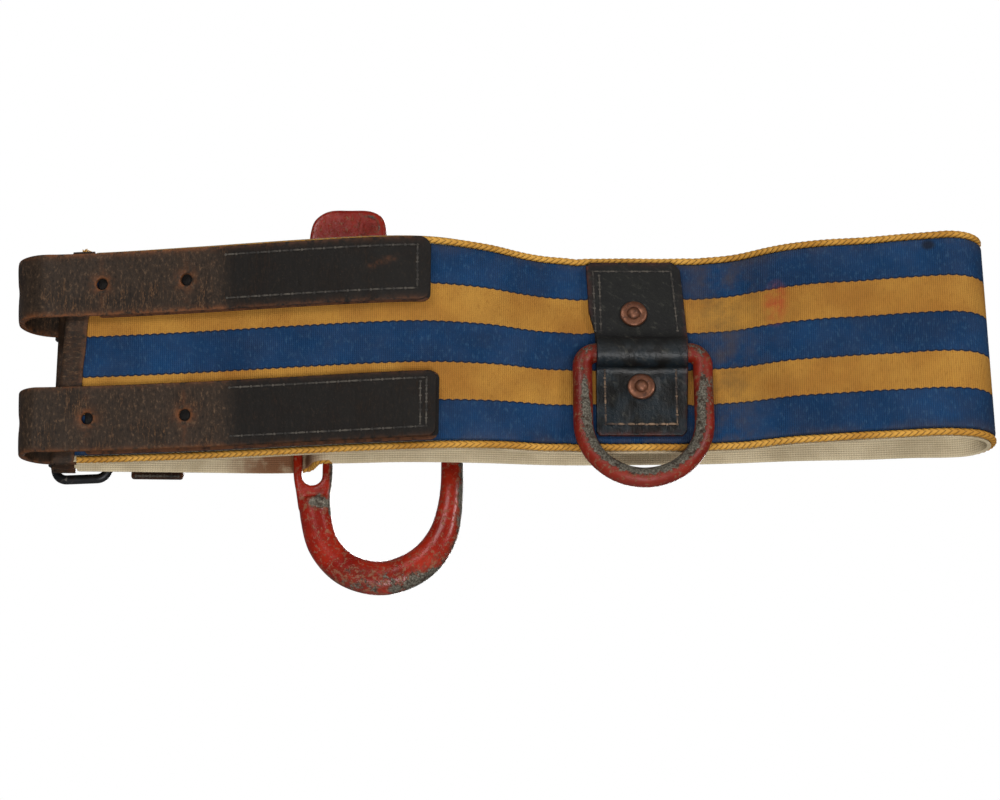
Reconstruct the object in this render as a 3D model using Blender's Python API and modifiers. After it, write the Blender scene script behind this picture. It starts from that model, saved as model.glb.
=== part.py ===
"""Firefighter's safety belt: striped webbing loop, two leather closing straps with roller
buckles, a riveted D-ring, and a snap hook threaded on the webbing by its slotted spine.

Frame: upright as worn and pressed flat. +X runs along the belt, -Y is the outer face of the
front half, +Z is up, and the origin is the middle of the loop. Metres.

Soft pieces are laid out flat on a bench as (s, w, h): s along the belt, w up across its width
and h outward through its thickness. A Ribbon then bends the bench round the belt's route.
"""
import math

import bmesh
import bpy
import numpy as np
from mathutils import Matrix, Vector

MM = 0.001

# ---------------------------------------------------------------- belt body
BELT_HALF = 45.0 * MM            # half the finished width, over the edge cords
WEB_HALF = 41.6 * MM
LINING_HALF = 44.0 * MM
OUTER_FACE = 2.0 * MM            # h of the webbing's outer face
WEB_INNER = -0.6 * MM
LINING_OUTER = -0.9 * MM
LINING_INNER = -2.0 * MM
GAP = 0.3 * MM                   # clearance between pieces that touch
CORD_RADIUS = 1.4 * MM
CORD_W = 43.4 * MM
CORD_H = 0.75 * MM
TWIST_WEIGHT = 12.0              # a change of lean needs more creases than a bend does
FRONT_END_X = -183.5 * MM
FRONT_SLANT = 0.1                # the front end is cut on the slant, its lower corner longer
BACK_END_X = -188.5 * MM

# Route of the belt's middle in plan, millimetres, with its lean in degrees: a positive lean
# tips the top edge away from the front.
FRONT_ROUTE = [(-196, 11.0, -10), (-184, 10.2, -10), (-166, 8.6, -10), (-125, 2.5, -12),
               (-83, -5, -13), (-52, -9.8, -12), (-30, -11, -8), (-6, -7, 0), (20, 2.6, 6),
               (36, 3.8, 7), (60, 4.1, 7), (84, 3.4, 7), (98, 0.6, 6), (123, -11, 3),
               (153, -17.5, 3), (180, -22.6, 2)]
RIGHT_FOLD = (187, -9, 14)       # centre x, centre y, radius
BACK_RIGHT = [(172, 6.5, 0), (153, 9, 0), (123, 11, 0), (93, 15, 0), (63, 16.6, 0),
              (23, 17, 0), (-10, 13.5, 0), (-41, 12.3, 0), (-60, 13.8, 0)]
BACK_LEFT = [(-98, 29.3, 0), (-124, 28.2, 0), (-160, 26.8, 0), (-184, 26, 0), (-200, 25.4, 0)]

# ---------------------------------------------------------------- closing straps
STRAP_THICK = 3.0 * MM
BASE_THICK = 1.2 * MM
STRAPS = {
    # low and high edge in w, x of the sewn end, x of the base's left end, x of the front holes
    "upper": dict(w=(17.6, 43.0), end_x=-30.0, base_x=-169.0, holes=(-167.2, -130.5)),
    "lower": dict(w=(-40.4, -13.0), end_x=-26.0, base_x=-174.5, holes=(-173.5, -132.4)),
}
STRAP_FRONT_H = OUTER_FACE + GAP + BASE_THICK + GAP + STRAP_THICK / 2
HOLE_RADIUS = 2.5 * MM
STRAP_CORNER = 3.5 * MM

# ---------------------------------------------------------------- buckles
HEEL_X = -166.5 * MM             # x of the heel bar, which the chape and prong hang on
HEEL_H = 6.2 * MM
FRAME_BAR = 2.0 * MM             # radius of the frame's bar
FRAME_LENGTH = 23.0 * MM         # heel bar to roller bar
FRAME_HALF = 19.5 * MM           # half width, between the side bars' centres
FRAME_CORNER = 5.0 * MM
ROLLER_RISE = 4.0 * MM           # roller bar above the heel bar
ROLLER_RADII = (2.35 * MM, 3.3 * MM)
ROLLER_HALF = 13.5 * MM
PRONG_RING_HALF = 2.8 * MM
PRONG_RADIUS = 1.5 * MM
PRONG_SHANK = [(2.6, 1.5), (8.5, 4.1), (15.5, 7.2), (20.0, 8.7), (23.0, 9.1), (28.0, 8.9)]
CHAPE_THICK = 1.6 * MM
CHAPE_HALF = 13.8 * MM
KEEPER_THICK = 1.8 * MM
KEEPER_X = (-32.0 * MM, -10.0 * MM)
# Middle of the strap round the heel bar, millimetres: x towards the roller, h outward.
STRAP_BUCKLE = [(-47.5, 7.6), (-30, 7.6), (-18, 7.7), (-12, 8.4), (-8, 9.9), (-4, 11.5),
                (0, 12.0), (5, 10.4), (12, 7.9), (18, 5.9), (21.5, 5.2), (24, 5.1)]
LEFT_FOLD = (-190.5, 18.2, 12.8)

# ---------------------------------------------------------------- D-ring and its tab
RING_X = 59.5 * MM
RING_W = -3.0 * MM
RING_BAR = 4.15 * MM
RING_HALF = 25.1 * MM
RING_DROP = 31.6 * MM
RING_CORNER = 6.0 * MM
RING_H = OUTER_FACE + 0.9 * MM + RING_BAR
TAB_THICK = 2.2 * MM
TAB_CLEAR = 0.5 * MM
TAB_TOP_W = 41.0 * MM
TAB_BOTTOM_W = -39.5 * MM
RIVETS = {"upper": (56.4 * MM, 16.3 * MM), "lower": (58.9 * MM, -17.6 * MM)}
RIVET_SHANK = 2.0 * MM
BURR_RADIUS = 5.7 * MM
BURR_THICK = 0.9 * MM

# ---------------------------------------------------------------- snap hook
HOOK_Y = 22.0
PLATE_THICK = 6.0
HEAD_THICK = 9.0
SLOT = (-83.3, -74.8, -52.9, 45.5)           # x low, x high, z low, z high
U_FLATTEN = 0.76                             # thickness over width of the round bar
# Middle of the bent bar: x, z and half width, millimetres.
U_ROUTE = [(-78.0, -58.5, 6.7), (-77.1, -67, 6.6), (-73.6, -78.8, 6.7), (-64.2, -88.9, 7.0),
           (-50.2, -92.8, 7.2), (-38.2, -89.7, 7.2), (-29.6, -83.3, 6.9), (-23.7, -73.8, 6.2),
           (-21.2, -63.5, 5.4), (-20.3, -54, 4.9), (-20.2, -40, 4.7), (-20.2, -12, 4.7),
           (-20.4, 9, 4.4)]
GATE_PIVOT = (-57.0, 63.0)
GATE_TIP = (-27.4, 2.0)
GATE_EAR = 4.2
GATE_HALF = 4.0
GATE_START = 19.0
GATE_THICK = 6.0
EAR_Y = (19.55, 21.55)
FORK_Y = (19.3, 24.7)
PIVOT_SHANK = 2.4
PIVOT_HEAD = 5.1
PIVOT_HEAD_THICK = 0.95
SPRING_WIRE = 0.35
SPRING_RADIUS = 3.2
SPRING_PITCH = 0.95
SPRING_TURNS = 2.0

# ---------------------------------------------------------------- looks of the solids
BLUE = ("blue_webbing", (0.030, 0.130, 0.360), 0.85, 0.0)
LINEN = ("canvas_lining", (0.560, 0.470, 0.350), 0.90, 0.0)
GOLD = ("gold_cord", (0.520, 0.340, 0.100), 0.85, 0.0)
BROWN = ("brown_leather", (0.075, 0.042, 0.026), 0.60, 0.0)
BLACK_LEATHER = ("black_leather", (0.022, 0.020, 0.018), 0.50, 0.0)
BLACK_STEEL = ("black_steel", (0.025, 0.025, 0.028), 0.40, 0.9)
RED = ("red_paint", (0.400, 0.030, 0.018), 0.35, 0.2)
COPPER = ("copper", (0.400, 0.170, 0.090), 0.45, 1.0)
STEEL = ("spring_steel", (0.300, 0.300, 0.310), 0.35, 1.0)


def clear_scene():
    for item in list(bpy.data.objects):
        bpy.data.objects.remove(item, do_unlink=True)


def new_collection(name):
    group = bpy.data.collections.new(name)
    bpy.context.scene.collection.children.link(group)
    return group


def make_material(look):
    name, colour, roughness, metallic = look
    material = bpy.data.materials.get(name)
    if material is None:
        material = bpy.data.materials.new(name)
        material.use_nodes = True
        shader = material.node_tree.nodes["Principled BSDF"]
        shader.inputs["Base Color"].default_value = (*colour, 1.0)
        shader.inputs["Roughness"].default_value = roughness
        shader.inputs["Metallic"].default_value = metallic
    return material


clear_scene()
PARTS = new_collection("safety_belt")


def place(name, mesh, look, smooth_angle=40.0):
    """Link a mesh as a named part with its material."""
    mesh.name = name
    mesh.shade_smooth()
    mesh.set_sharp_from_angle(angle=math.radians(smooth_angle))
    mesh.materials.clear()
    mesh.materials.append(make_material(look))
    part = bpy.data.objects.new(name, mesh)
    PARTS.objects.link(part)
    return part


# ---------------------------------------------------------------- curves through points
def smooth_line(points, per_span=10):
    """Centripetal Catmull-Rom line through the points, with per_span samples a span."""
    points = np.asarray(points, float)
    first = 2 * points[0] - points[1]
    last = 2 * points[-1] - points[-2]
    padded = np.vstack([first, points, last])
    line = []
    for i in range(1, len(padded) - 2):
        line.extend(one_span(padded[i - 1:i + 3], per_span))
    line.append(points[-1])
    return np.array(line)


def one_span(quad, count):
    p0, p1, p2, p3 = quad
    t0 = 0.0
    t1 = t0 + knot_step(p0, p1)
    t2 = t1 + knot_step(p1, p2)
    t3 = t2 + knot_step(p2, p3)
    samples = []
    for t in np.linspace(t1, t2, count, endpoint=False):
        a1 = p0 * (t1 - t) / (t1 - t0) + p1 * (t - t0) / (t1 - t0)
        a2 = p1 * (t2 - t) / (t2 - t1) + p2 * (t - t1) / (t2 - t1)
        a3 = p2 * (t3 - t) / (t3 - t2) + p3 * (t - t2) / (t3 - t2)
        b1 = a1 * (t2 - t) / (t2 - t0) + a2 * (t - t0) / (t2 - t0)
        b2 = a2 * (t3 - t) / (t3 - t1) + a3 * (t - t1) / (t3 - t1)
        samples.append(b1 * (t2 - t) / (t2 - t1) + b2 * (t - t1) / (t2 - t1))
    return samples


def knot_step(a, b):
    return max(float(np.linalg.norm((b - a)[:2])), 1e-6) ** 0.5


def arc_points(cx, cy, radius, start, stop, count):
    """Points on an arc, angles in degrees."""
    angles = np.radians(np.linspace(start, stop, count))
    return [(cx + radius * math.cos(a), cy + radius * math.sin(a)) for a in angles]


class Profile:
    """A plane line, measured along its length, with a left-hand normal."""

    def __init__(self, points):
        self.points = np.asarray(points, float)
        steps = np.linalg.norm(np.diff(self.points[:, :2], axis=0), axis=1)
        self.length = np.concatenate([[0.0], np.cumsum(steps)])
        tangents = np.gradient(self.points[:, :2], self.length, axis=0)
        self.tangents = tangents / np.linalg.norm(tangents, axis=1)[:, None]

    def column(self, t, values):
        return float(np.interp(t, self.length, values))

    def point(self, t):
        return [self.column(t, self.points[:, k]) for k in range(self.points.shape[1])]

    def tangent(self, t):
        direction = Vector([self.column(t, self.tangents[:, k]) for k in range(2)])
        return direction.normalized()

    def lean(self, t):
        return 0.0

    def offset(self, t, n):
        direction = self.tangent(t)
        a, b = self.point(t)[:2]
        return a - direction.y * n, b + direction.x * n

    def stations(self, start, stop, max_turn=14.0, max_step=0.020):
        """Lengths between start and stop where a flat piece needs a crease to follow the line."""
        marks = []
        last = start
        turn = 0.0
        before = self.tangent(start)
        lean = self.lean(start)
        for t in np.arange(start + 0.0004, stop - 0.0006, 0.0004):
            here = self.tangent(t)
            turn += math.degrees(before.angle(here)) + TWIST_WEIGHT * abs(self.lean(t) - lean)
            before = here
            lean = self.lean(t)
            if turn > max_turn or t - last > max_step:
                marks.append(float(t))
                last = t
                turn = 0.0
        return marks


class Ribbon(Profile):
    """A route in plan with a height and a lean: maps bench (s, w, h) to space."""

    def lean(self, t):
        return self.point(t)[3]

    def axes(self, s):
        """The along, up and outward directions at s."""
        along = self.tangent(s)
        outward = Vector((along.y, -along.x, 0.0))
        lean = math.radians(self.lean(s))
        up = Vector((0, 0, math.cos(lean))) - outward * math.sin(lean)
        out = outward * math.cos(lean) + Vector((0, 0, math.sin(lean)))
        return Vector((along.x, along.y, 0.0)), up, out

    def at(self, s, w, h):
        x, y, z = self.point(s)[:3]
        up, out = self.axes(s)[1:]
        return Vector((x, y, z)) + up * w + out * h

    def matrix(self, s, w, h):
        """A placement whose X, Y and Z run along s, w and h."""
        along, up, out = self.axes(s)
        turn = Matrix((along, up, out)).transposed().to_4x4()
        return Matrix.Translation(self.at(s, w, h)) @ turn

    def s_near(self, target):
        """The length whose route point is nearest to a point in plan."""
        gaps = np.linalg.norm(self.points[:, :2] - np.asarray(target)[:2], axis=1)
        return float(self.length[int(np.argmin(gaps))])

    def s_at_x(self, x, back=False):
        """The length where the front or the back half passes x."""
        half = self.length > self.length[int(np.argmax(self.points[:, 0]))]
        rows = np.where(half == back)[0]
        order = rows[np.argsort(self.points[rows, 0])]
        return float(np.interp(x, self.points[order, 0], self.length[order]))


def slot_bend():
    """The belt's route through the hook's slot, from its right side to its left."""
    slot_x = (SLOT[0] + SLOT[1]) / 2
    radius = 5.6
    steep = 71.0
    right_y = 14.6
    left_y = 28.6
    rise = left_y - right_y - 2 * radius * (1 - math.cos(math.radians(steep)))
    run = 2 * radius * math.sin(math.radians(steep)) + rise / math.tan(math.radians(steep))
    lower = arc_points(slot_x + run / 2, right_y + radius, radius, -90, -90 - steep, 5)
    upper = arc_points(slot_x - run / 2, left_y - radius, radius, 90 - steep, 90, 5)
    return [(x, y, 0) for x, y in lower + upper]


def belt_ribbon():
    fold = [(x, y, 1) for x, y in arc_points(*RIGHT_FOLD, -90, 90, 7)]
    rows = FRONT_ROUTE + fold + BACK_RIGHT + slot_bend() + BACK_LEFT
    route = [(x * MM, y * MM, 0.0, lean) for x, y, lean in rows]
    return Ribbon(smooth_line(route))


BELT = belt_ribbon()
BELT_MARKS = BELT.stations(0.0, float(BELT.length[-1]), 13.0, 0.018)
HEEL_S = BELT.s_at_x(HEEL_X, back=True)


def belt_marks(start, stop):
    """Creases shared by every piece that lies on the belt, so that they stay parallel."""
    return [s for s in BELT_MARKS if start + 0.0005 < s < stop - 0.0005]


def strap_ribbon():
    """From the strap's tip on the back, round the left fold, to its sewn end on the front."""
    rows = []
    for x, h in STRAP_BUCKLE:
        rows.append((*BELT.at(HEEL_S + x * MM, 0.0, h * MM), 0.0))
    fold = arc_points(*LEFT_FOLD, 100, 262, 8)
    for step, (x, y) in enumerate(fold):
        share = (step / (len(fold) - 1)) ** 2
        rows.append((x * MM, y * MM, -0.9 * MM * share, -10.0 * share))
    first = BELT.s_at_x(-186 * MM)
    for s in np.arange(first, BELT.s_at_x(-10 * MM), 0.006):
        rows.append((*BELT.at(s, 0.0, STRAP_FRONT_H), BELT.lean(s)))
    return Ribbon(smooth_line(rows))


STRAP = strap_ribbon()


# ---------------------------------------------------------------- bench work
def face_out(work):
    """Turn every face of a closed body outwards."""
    bmesh.ops.recalc_face_normals(work, faces=work.faces)
    if work.calc_volume(signed=True) < 0:
        bmesh.ops.reverse_faces(work, faces=work.faces)


def weld(mesh):
    """Join a mesh's touching points and turn its faces outwards."""
    work = bmesh.new()
    work.from_mesh(mesh)
    bmesh.ops.remove_doubles(work, verts=work.verts, dist=1e-6)
    face_out(work)
    work.to_mesh(mesh)
    work.free()
    return mesh


def evaluated_mesh(item):
    depsgraph = bpy.context.evaluated_depsgraph_get()
    depsgraph.update()
    return bpy.data.meshes.new_from_object(item.evaluated_get(depsgraph))


def mesh_of_curve(curve):
    """A closed mesh from a curve, its caps welded on."""
    item = bpy.data.objects.new("bench_curve", curve)
    PARTS.objects.link(item)
    mesh = evaluated_mesh(item)
    bpy.data.objects.remove(item)
    return weld(mesh)


def outline_plate(outlines, low, high, bevel=0.0):
    """A flat plate from closed outlines in its plane; later outlines are holes."""
    curve = bpy.data.curves.new("outline", 'CURVE')
    curve.dimensions = '2D'
    curve.fill_mode = 'BOTH'
    for outline in outlines:
        spline = curve.splines.new('POLY')
        spline.points.add(len(outline) - 1)
        for slot, (a, b) in zip(spline.points, outline):
            slot.co = (a, b, 0.0, 1.0)
        spline.use_cyclic_u = True
    curve.extrude = (high - low) / 2 - bevel
    curve.bevel_depth = bevel
    curve.bevel_resolution = 0
    curve.offset = -bevel
    mesh = mesh_of_curve(curve)
    mesh.transform(Matrix.Translation((0, 0, (low + high) / 2)))
    return mesh


def tube_mesh(points, radii, resolution=2, cyclic=False):
    """A round bar along the points, with a radius at each one."""
    curve = bpy.data.curves.new("tube", 'CURVE')
    curve.dimensions = '3D'
    curve.bevel_depth = 1.0
    curve.bevel_resolution = resolution
    curve.use_fill_caps = not cyclic
    spline = curve.splines.new('POLY')
    spline.points.add(len(points) - 1)
    for slot, point, radius in zip(spline.points, points, radii):
        slot.co = (*point, 1.0)
        slot.radius = radius
    spline.use_cyclic_u = cyclic
    return mesh_of_curve(curve)


def turned_mesh(profile, steps=24):
    """A turned piece: (radius, height) points, top to bottom down the outer side."""
    mesh = bpy.data.meshes.new("turned")
    points = [(r, 0.0, z) for r, z in profile]
    edges = [(i, i + 1) for i in range(len(points) - 1)]
    mesh.from_pydata(points, edges, [])
    item = bpy.data.objects.new("bench_turned", mesh)
    PARTS.objects.link(item)
    screw = item.modifiers.new("Screw", 'SCREW')
    screw.steps = steps
    screw.render_steps = steps
    screw.use_merge_vertices = True
    screw.merge_threshold = 1e-6
    result = evaluated_mesh(item)
    bpy.data.objects.remove(item)
    return weld(result)


def combine(mesh, others, operation):
    """Union or difference of a mesh with others, by Boolean modifiers."""
    base = bpy.data.objects.new("bench_base", mesh)
    PARTS.objects.link(base)
    helpers = []
    for other in others:
        helper = bpy.data.objects.new("bench_cutter", other)
        PARTS.objects.link(helper)
        boolean = base.modifiers.new("Boolean", 'BOOLEAN')
        boolean.operation = operation
        boolean.solver = 'EXACT'
        boolean.object = helper
        helpers.append(helper)
    result = evaluated_mesh(base)
    for item in helpers + [base]:
        bpy.data.objects.remove(item)
    return result


def box_mesh(low, high):
    work = bmesh.new()
    bmesh.ops.create_cube(work, size=1.0)
    size = Vector(high) - Vector(low)
    centre = (Vector(high) + Vector(low)) / 2
    bmesh.ops.scale(work, vec=size, verts=work.verts)
    bmesh.ops.translate(work, vec=centre, verts=work.verts)
    mesh = bpy.data.meshes.new("box")
    work.to_mesh(mesh)
    work.free()
    return mesh


def cylinder_mesh(radius, low, high, centre=(0.0, 0.0), stretch=1.0, segments=20):
    """A cylinder along the bench's h, stretched along s where it cuts an oval."""
    work = bmesh.new()
    bmesh.ops.create_cone(work, cap_ends=True, segments=segments, radius1=radius,
                          radius2=radius, depth=high - low)
    bmesh.ops.scale(work, vec=(stretch, 1.0, 1.0), verts=work.verts)
    bmesh.ops.translate(work, vec=(*centre, (low + high) / 2), verts=work.verts)
    mesh = bpy.data.meshes.new("cylinder")
    work.to_mesh(mesh)
    work.free()
    return mesh


def crease(mesh, marks, axis=0):
    """Cut a plain flat piece across at each mark, so that it can bend there."""
    work = bmesh.new()
    work.from_mesh(mesh)
    bmesh.ops.dissolve_limit(work, angle_limit=0.01, verts=work.verts, edges=work.edges)
    work.to_mesh(mesh)
    work.free()
    return crease_again(mesh, marks, axis)


def crease_again(mesh, marks, axis):
    """Cut a piece that already has creases the other way."""
    normal = [0.0, 0.0, 0.0]
    normal[axis] = 1.0
    work = bmesh.new()
    work.from_mesh(mesh)
    for mark in marks:
        origin = [0.0, 0.0, 0.0]
        origin[axis] = mark
        geometry = work.verts[:] + work.edges[:] + work.faces[:]
        bmesh.ops.bisect_plane(work, geom=geometry, dist=1e-6, plane_co=origin,
                               plane_no=normal)
    work.to_mesh(mesh)
    work.free()
    return mesh


def wrap(mesh, mapping):
    """Bend a bench piece by a mapping of its points."""
    work = bmesh.new()
    work.from_mesh(mesh)
    bmesh.ops.triangulate(work, faces=work.faces)
    for vertex in work.verts:
        vertex.co = mapping(*vertex.co)
    face_out(work)
    work.to_mesh(mesh)
    work.free()
    return mesh


def rounded_outline(a_low, a_high, b_low, b_high, radii, steps=4):
    """A rectangle with its own radius at each corner: low-low, high-low, high-high, low-high."""
    corners = [(a_low, b_low, 1, 1, 180), (a_high, b_low, -1, 1, 270),
               (a_high, b_high, -1, -1, 0), (a_low, b_high, 1, -1, 90)]
    outline = []
    for (a, b, side_a, side_b, start), radius in zip(corners, radii):
        if radius <= 0:
            outline.append((a, b))
            continue
        centre = (a + side_a * radius, b + side_b * radius)
        outline.extend(arc_points(*centre, radius, start, start + 90, steps + 1))
    return outline


# ---------------------------------------------------------------- belt body
def rivet_seats(radius):
    """Cutters for the two rivets' holes, through the whole belt."""
    seats = []
    for x, w in RIVETS.values():
        seats.append(cylinder_mesh(radius, -6 * MM, 12 * MM, (BELT.s_at_x(x), w)))
    return seats


def slant(mesh, start):
    """Shear the front end's face."""
    for vertex in mesh.vertices:
        if vertex.co.x < start + GAP:
            vertex.co.x += FRONT_SLANT * vertex.co.y
    return mesh


def belt_strip(name, half, low, high, look):
    start = BELT.s_at_x(FRONT_END_X)
    stop = BELT.s_at_x(BACK_END_X, back=True)
    mesh = slant(box_mesh((start, -half, low), (stop, half, high)), start)
    mesh = crease(mesh, belt_marks(start - FRONT_SLANT * half, stop))
    mesh = crease_again(mesh, [-14 * MM, 14 * MM], axis=1)
    mesh = combine(mesh, rivet_seats(RIVET_SHANK + GAP), 'DIFFERENCE')
    place(name, wrap(mesh, BELT.at), look)


def edge_cord(name, w):
    start = BELT.s_at_x(FRONT_END_X) + 9.5 * MM + FRONT_SLANT * w
    stop = BELT.s_at_x(BACK_END_X, back=True) - 9.5 * MM
    marks = [start] + belt_marks(start, stop) + [stop]
    points = [BELT.at(s, w, CORD_H) for s in marks]
    place(name, tube_mesh(points, [CORD_RADIUS] * len(points)), GOLD)


def end_binding(name, end_s, inward, shear):
    """A leather U over a cut end of the belt."""
    skin = 1.0 * MM
    inner = OUTER_FACE + GAP
    outer = inner + skin
    depth = 8.5 * MM
    tip = inward * -(GAP + skin)
    mouth = inward * -GAP
    profile = [(depth * inward, outer), (tip, outer), (tip, -outer), (depth * inward, -outer),
               (depth * inward, -inner), (mouth, -inner), (mouth, inner), (depth * inward, inner)]
    mesh = outline_plate([profile], -BELT_HALF, BELT_HALF)

    def bend(a, h, w):
        return BELT.at(end_s + a + shear * w, w, h)

    place(name, wrap(mesh, bend), BROWN)


def make_belt_body():
    belt_strip("webbing_belt", WEB_HALF, WEB_INNER, OUTER_FACE, BLUE)
    belt_strip("inner_lining", LINING_HALF, LINING_INNER, LINING_OUTER, LINEN)
    edge_cord("edge_cord_top", CORD_W)
    edge_cord("edge_cord_bottom", -CORD_W)
    end_binding("end_binding_front", BELT.s_at_x(FRONT_END_X), 1, FRONT_SLANT)
    end_binding("end_binding_back", BELT.s_at_x(BACK_END_X, back=True), -1, 0.0)


# ---------------------------------------------------------------- closing straps
def strap_holes(spec):
    """Cutters for the punched holes, the one under the prong drawn to an oval."""
    middle = sum(spec["w"]) / 2 * MM
    prong = STRAP.s_near(BELT.at(HEEL_S + 6.3 * MM, 0.0, 9.6 * MM))
    last = STRAP.s_at_x(0.0)
    front = []
    for x in spec["holes"]:
        front.append(front_s(x * MM))
    between = (prong + front[0]) / 2
    tail = prong - 38 * MM
    low = -STRAP_THICK
    cutters = [cylinder_mesh(2.3 * MM, low, -low, (prong, middle), 2.45)]
    for s in front + [between, tail]:
        assert 0 < s < last
        cutters.append(cylinder_mesh(HOLE_RADIUS, low, -low, (s, middle), 1.0, 14))
    return cutters


def front_s(x):
    """Length on the strap's route where its front run passes x."""
    turn = int(np.argmin(STRAP.points[:, 0]))
    return float(np.interp(x, STRAP.points[turn:, 0], STRAP.length[turn:]))


def make_strap(side):
    spec = STRAPS[side]
    low, high = [edge * MM for edge in spec["w"]]
    stop = front_s(spec["end_x"] * MM)
    half = STRAP_THICK / 2
    radii = [13 * MM, STRAP_CORNER, STRAP_CORNER, 13 * MM]
    mesh = outline_plate([rounded_outline(0.0, stop, low, high, radii)], -half, half)
    mesh = crease(mesh, STRAP.stations(0.0, stop, 13.0, 0.022))
    mesh = combine(mesh, strap_holes(spec), 'DIFFERENCE')
    place("strap_" + side, wrap(mesh, STRAP.at), BROWN)


def make_strap_base(side):
    """The backing ply, a little wider than the strap at its lower edge."""
    spec = STRAPS[side]
    low = (spec["w"][0] - 1.2) * MM
    high = (spec["w"][1] + 0.2) * MM
    start = BELT.s_at_x(spec["base_x"] * MM)
    stop = BELT.s_at_x((spec["end_x"] + 0.8) * MM)
    radii = [2 * MM, STRAP_CORNER, STRAP_CORNER, 2 * MM]
    bottom = OUTER_FACE + GAP
    outline = rounded_outline(start, stop, low, high, radii)
    mesh = outline_plate([outline], bottom, bottom + BASE_THICK)
    mesh = crease(mesh, belt_marks(start, stop))
    place("strap_base_" + side, wrap(mesh, BELT.at), BLACK_LEATHER)


# ---------------------------------------------------------------- buckles
def strap_middle(side):
    return sum(STRAPS[side]["w"]) / 2 * MM


def heel_matrix(side):
    """Placement on the heel bar: X to the roller, Y up, Z outward."""
    return BELT.matrix(HEEL_S, strap_middle(side), HEEL_H)


def frame_tilt():
    return Matrix.Rotation(-math.atan2(ROLLER_RISE, FRAME_LENGTH), 4, 'Y')


def make_frame(side):
    """A round bar bent to a rectangle, its heel bar on the object's origin."""
    span = math.hypot(FRAME_LENGTH, ROLLER_RISE)
    outline = rounded_outline(0.0, span, -FRAME_HALF, FRAME_HALF, [FRAME_CORNER] * 4, 5)
    points = [(a, b, 0.0) for a, b in outline]
    mesh = tube_mesh(points, [FRAME_BAR] * len(points), 2, True)
    part = place("buckle_frame_" + side, mesh, BLACK_STEEL)
    part.matrix_world = heel_matrix(side) @ frame_tilt()


def make_roller(side):
    inner, outer = ROLLER_RADII
    profile = [(inner, ROLLER_HALF), (outer, ROLLER_HALF), (outer, -ROLLER_HALF),
               (inner, -ROLLER_HALF), (inner, ROLLER_HALF)]
    part = place("buckle_roller_" + side, turned_mesh(profile, 20), BLACK_STEEL)
    span = math.hypot(FRAME_LENGTH, ROLLER_RISE)
    lay = Matrix.Translation((span, 0, 0)) @ Matrix.Rotation(math.radians(-90), 4, 'X')
    part.matrix_world = heel_matrix(side) @ frame_tilt() @ lay


def make_prong(side):
    """A wrapped eye on the heel bar and a shank that comes to rest on the roller."""
    inner = FRAME_BAR + GAP
    outer = inner + CHAPE_THICK
    half = PRONG_RING_HALF
    profile = [(inner, half), (outer, half), (outer, -half), (inner, -half), (inner, half)]
    eye = turned_mesh(profile, 20)
    eye.transform(Matrix.Rotation(math.radians(-90), 4, 'X'))
    line = smooth_line([(x * MM, z * MM) for x, z in PRONG_SHANK], 3)
    points = [(x, 0.0, z) for x, z in line]
    radii = [PRONG_RADIUS] * (len(points) - 2) + [1.3 * MM, 0.9 * MM]
    shank = tube_mesh(points, radii, 2)
    part = place("buckle_prong_" + side, combine(eye, [shank], 'UNION'), BLACK_STEEL)
    part.matrix_world = heel_matrix(side)


def make_chape(side):
    """A leather strip folded round the heel bar, notched for the prong."""
    middle = strap_middle(side)
    lower_h = OUTER_FACE + GAP + CHAPE_THICK / 2
    upper_h = lower_h + CHAPE_THICK + GAP
    radius = HEEL_H - lower_h
    line = [(-40 * MM, lower_h), (-25 * MM, lower_h), (-8 * MM, lower_h)]
    line += arc_points(0.0, HEEL_H, radius, -90, 90, 9)
    line += [(-3.4 * MM, 8.6 * MM), (-6.6 * MM, 6.3 * MM), (-10 * MM, upper_h),
             (-16 * MM, upper_h), (-37 * MM, upper_h)]
    fold = Profile(smooth_line(line, 4))
    total = float(fold.length[-1])
    half = CHAPE_THICK / 2
    mesh = box_mesh((0.0, -CHAPE_HALF, -half), (total, CHAPE_HALF, half))
    mesh = crease(mesh, fold.stations(0.0, total, 20.0, 0.03))
    first = 35.5 * MM
    last = 40 * MM + math.pi * radius + 5.5 * MM
    slot = box_mesh((first, -PRONG_RING_HALF - 0.6 * MM, -4 * MM),
                    (last, PRONG_RING_HALF + 0.6 * MM, 4 * MM))
    mesh = combine(mesh, [slot], 'DIFFERENCE')

    def bend(t, w, n):
        x, h = fold.offset(t, n)
        return BELT.at(HEEL_S + x, middle + w, h)

    place("chape_" + side, wrap(mesh, bend), BLACK_LEATHER)


def make_keeper(side):
    """A leather loop over the strap, sewn to the belt by two feet."""
    middle = strap_middle(side)
    foot_h = OUTER_FACE + GAP + KEEPER_THICK / 2
    top_h = 12.6 * MM
    wall = 16.4 * MM
    half_line = [(20.6 * MM, foot_h), (18.4 * MM, foot_h), (wall + 0.4 * MM, foot_h + 1.0 * MM),
                 (wall, foot_h + 2.6 * MM), (wall, top_h - 3.0 * MM),
                 (wall - 0.9 * MM, top_h - 0.8 * MM), (wall - 3.4 * MM, top_h)]
    line = half_line + [(0.0, top_h)] + [(-w, h) for w, h in reversed(half_line)]
    loop = Profile(smooth_line(line, 3))
    total = float(loop.length[-1])
    half = KEEPER_THICK / 2
    mesh = box_mesh((0.0, KEEPER_X[0], -half), (total, KEEPER_X[1], half))
    mesh = crease(mesh, loop.stations(0.0, total, 20.0, 0.03))

    def bend(t, x, n):
        w, h = loop.offset(t, n)
        return BELT.at(HEEL_S + x, middle + w, h)

    place("keeper_" + side, wrap(mesh, bend), BLACK_LEATHER)


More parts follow.
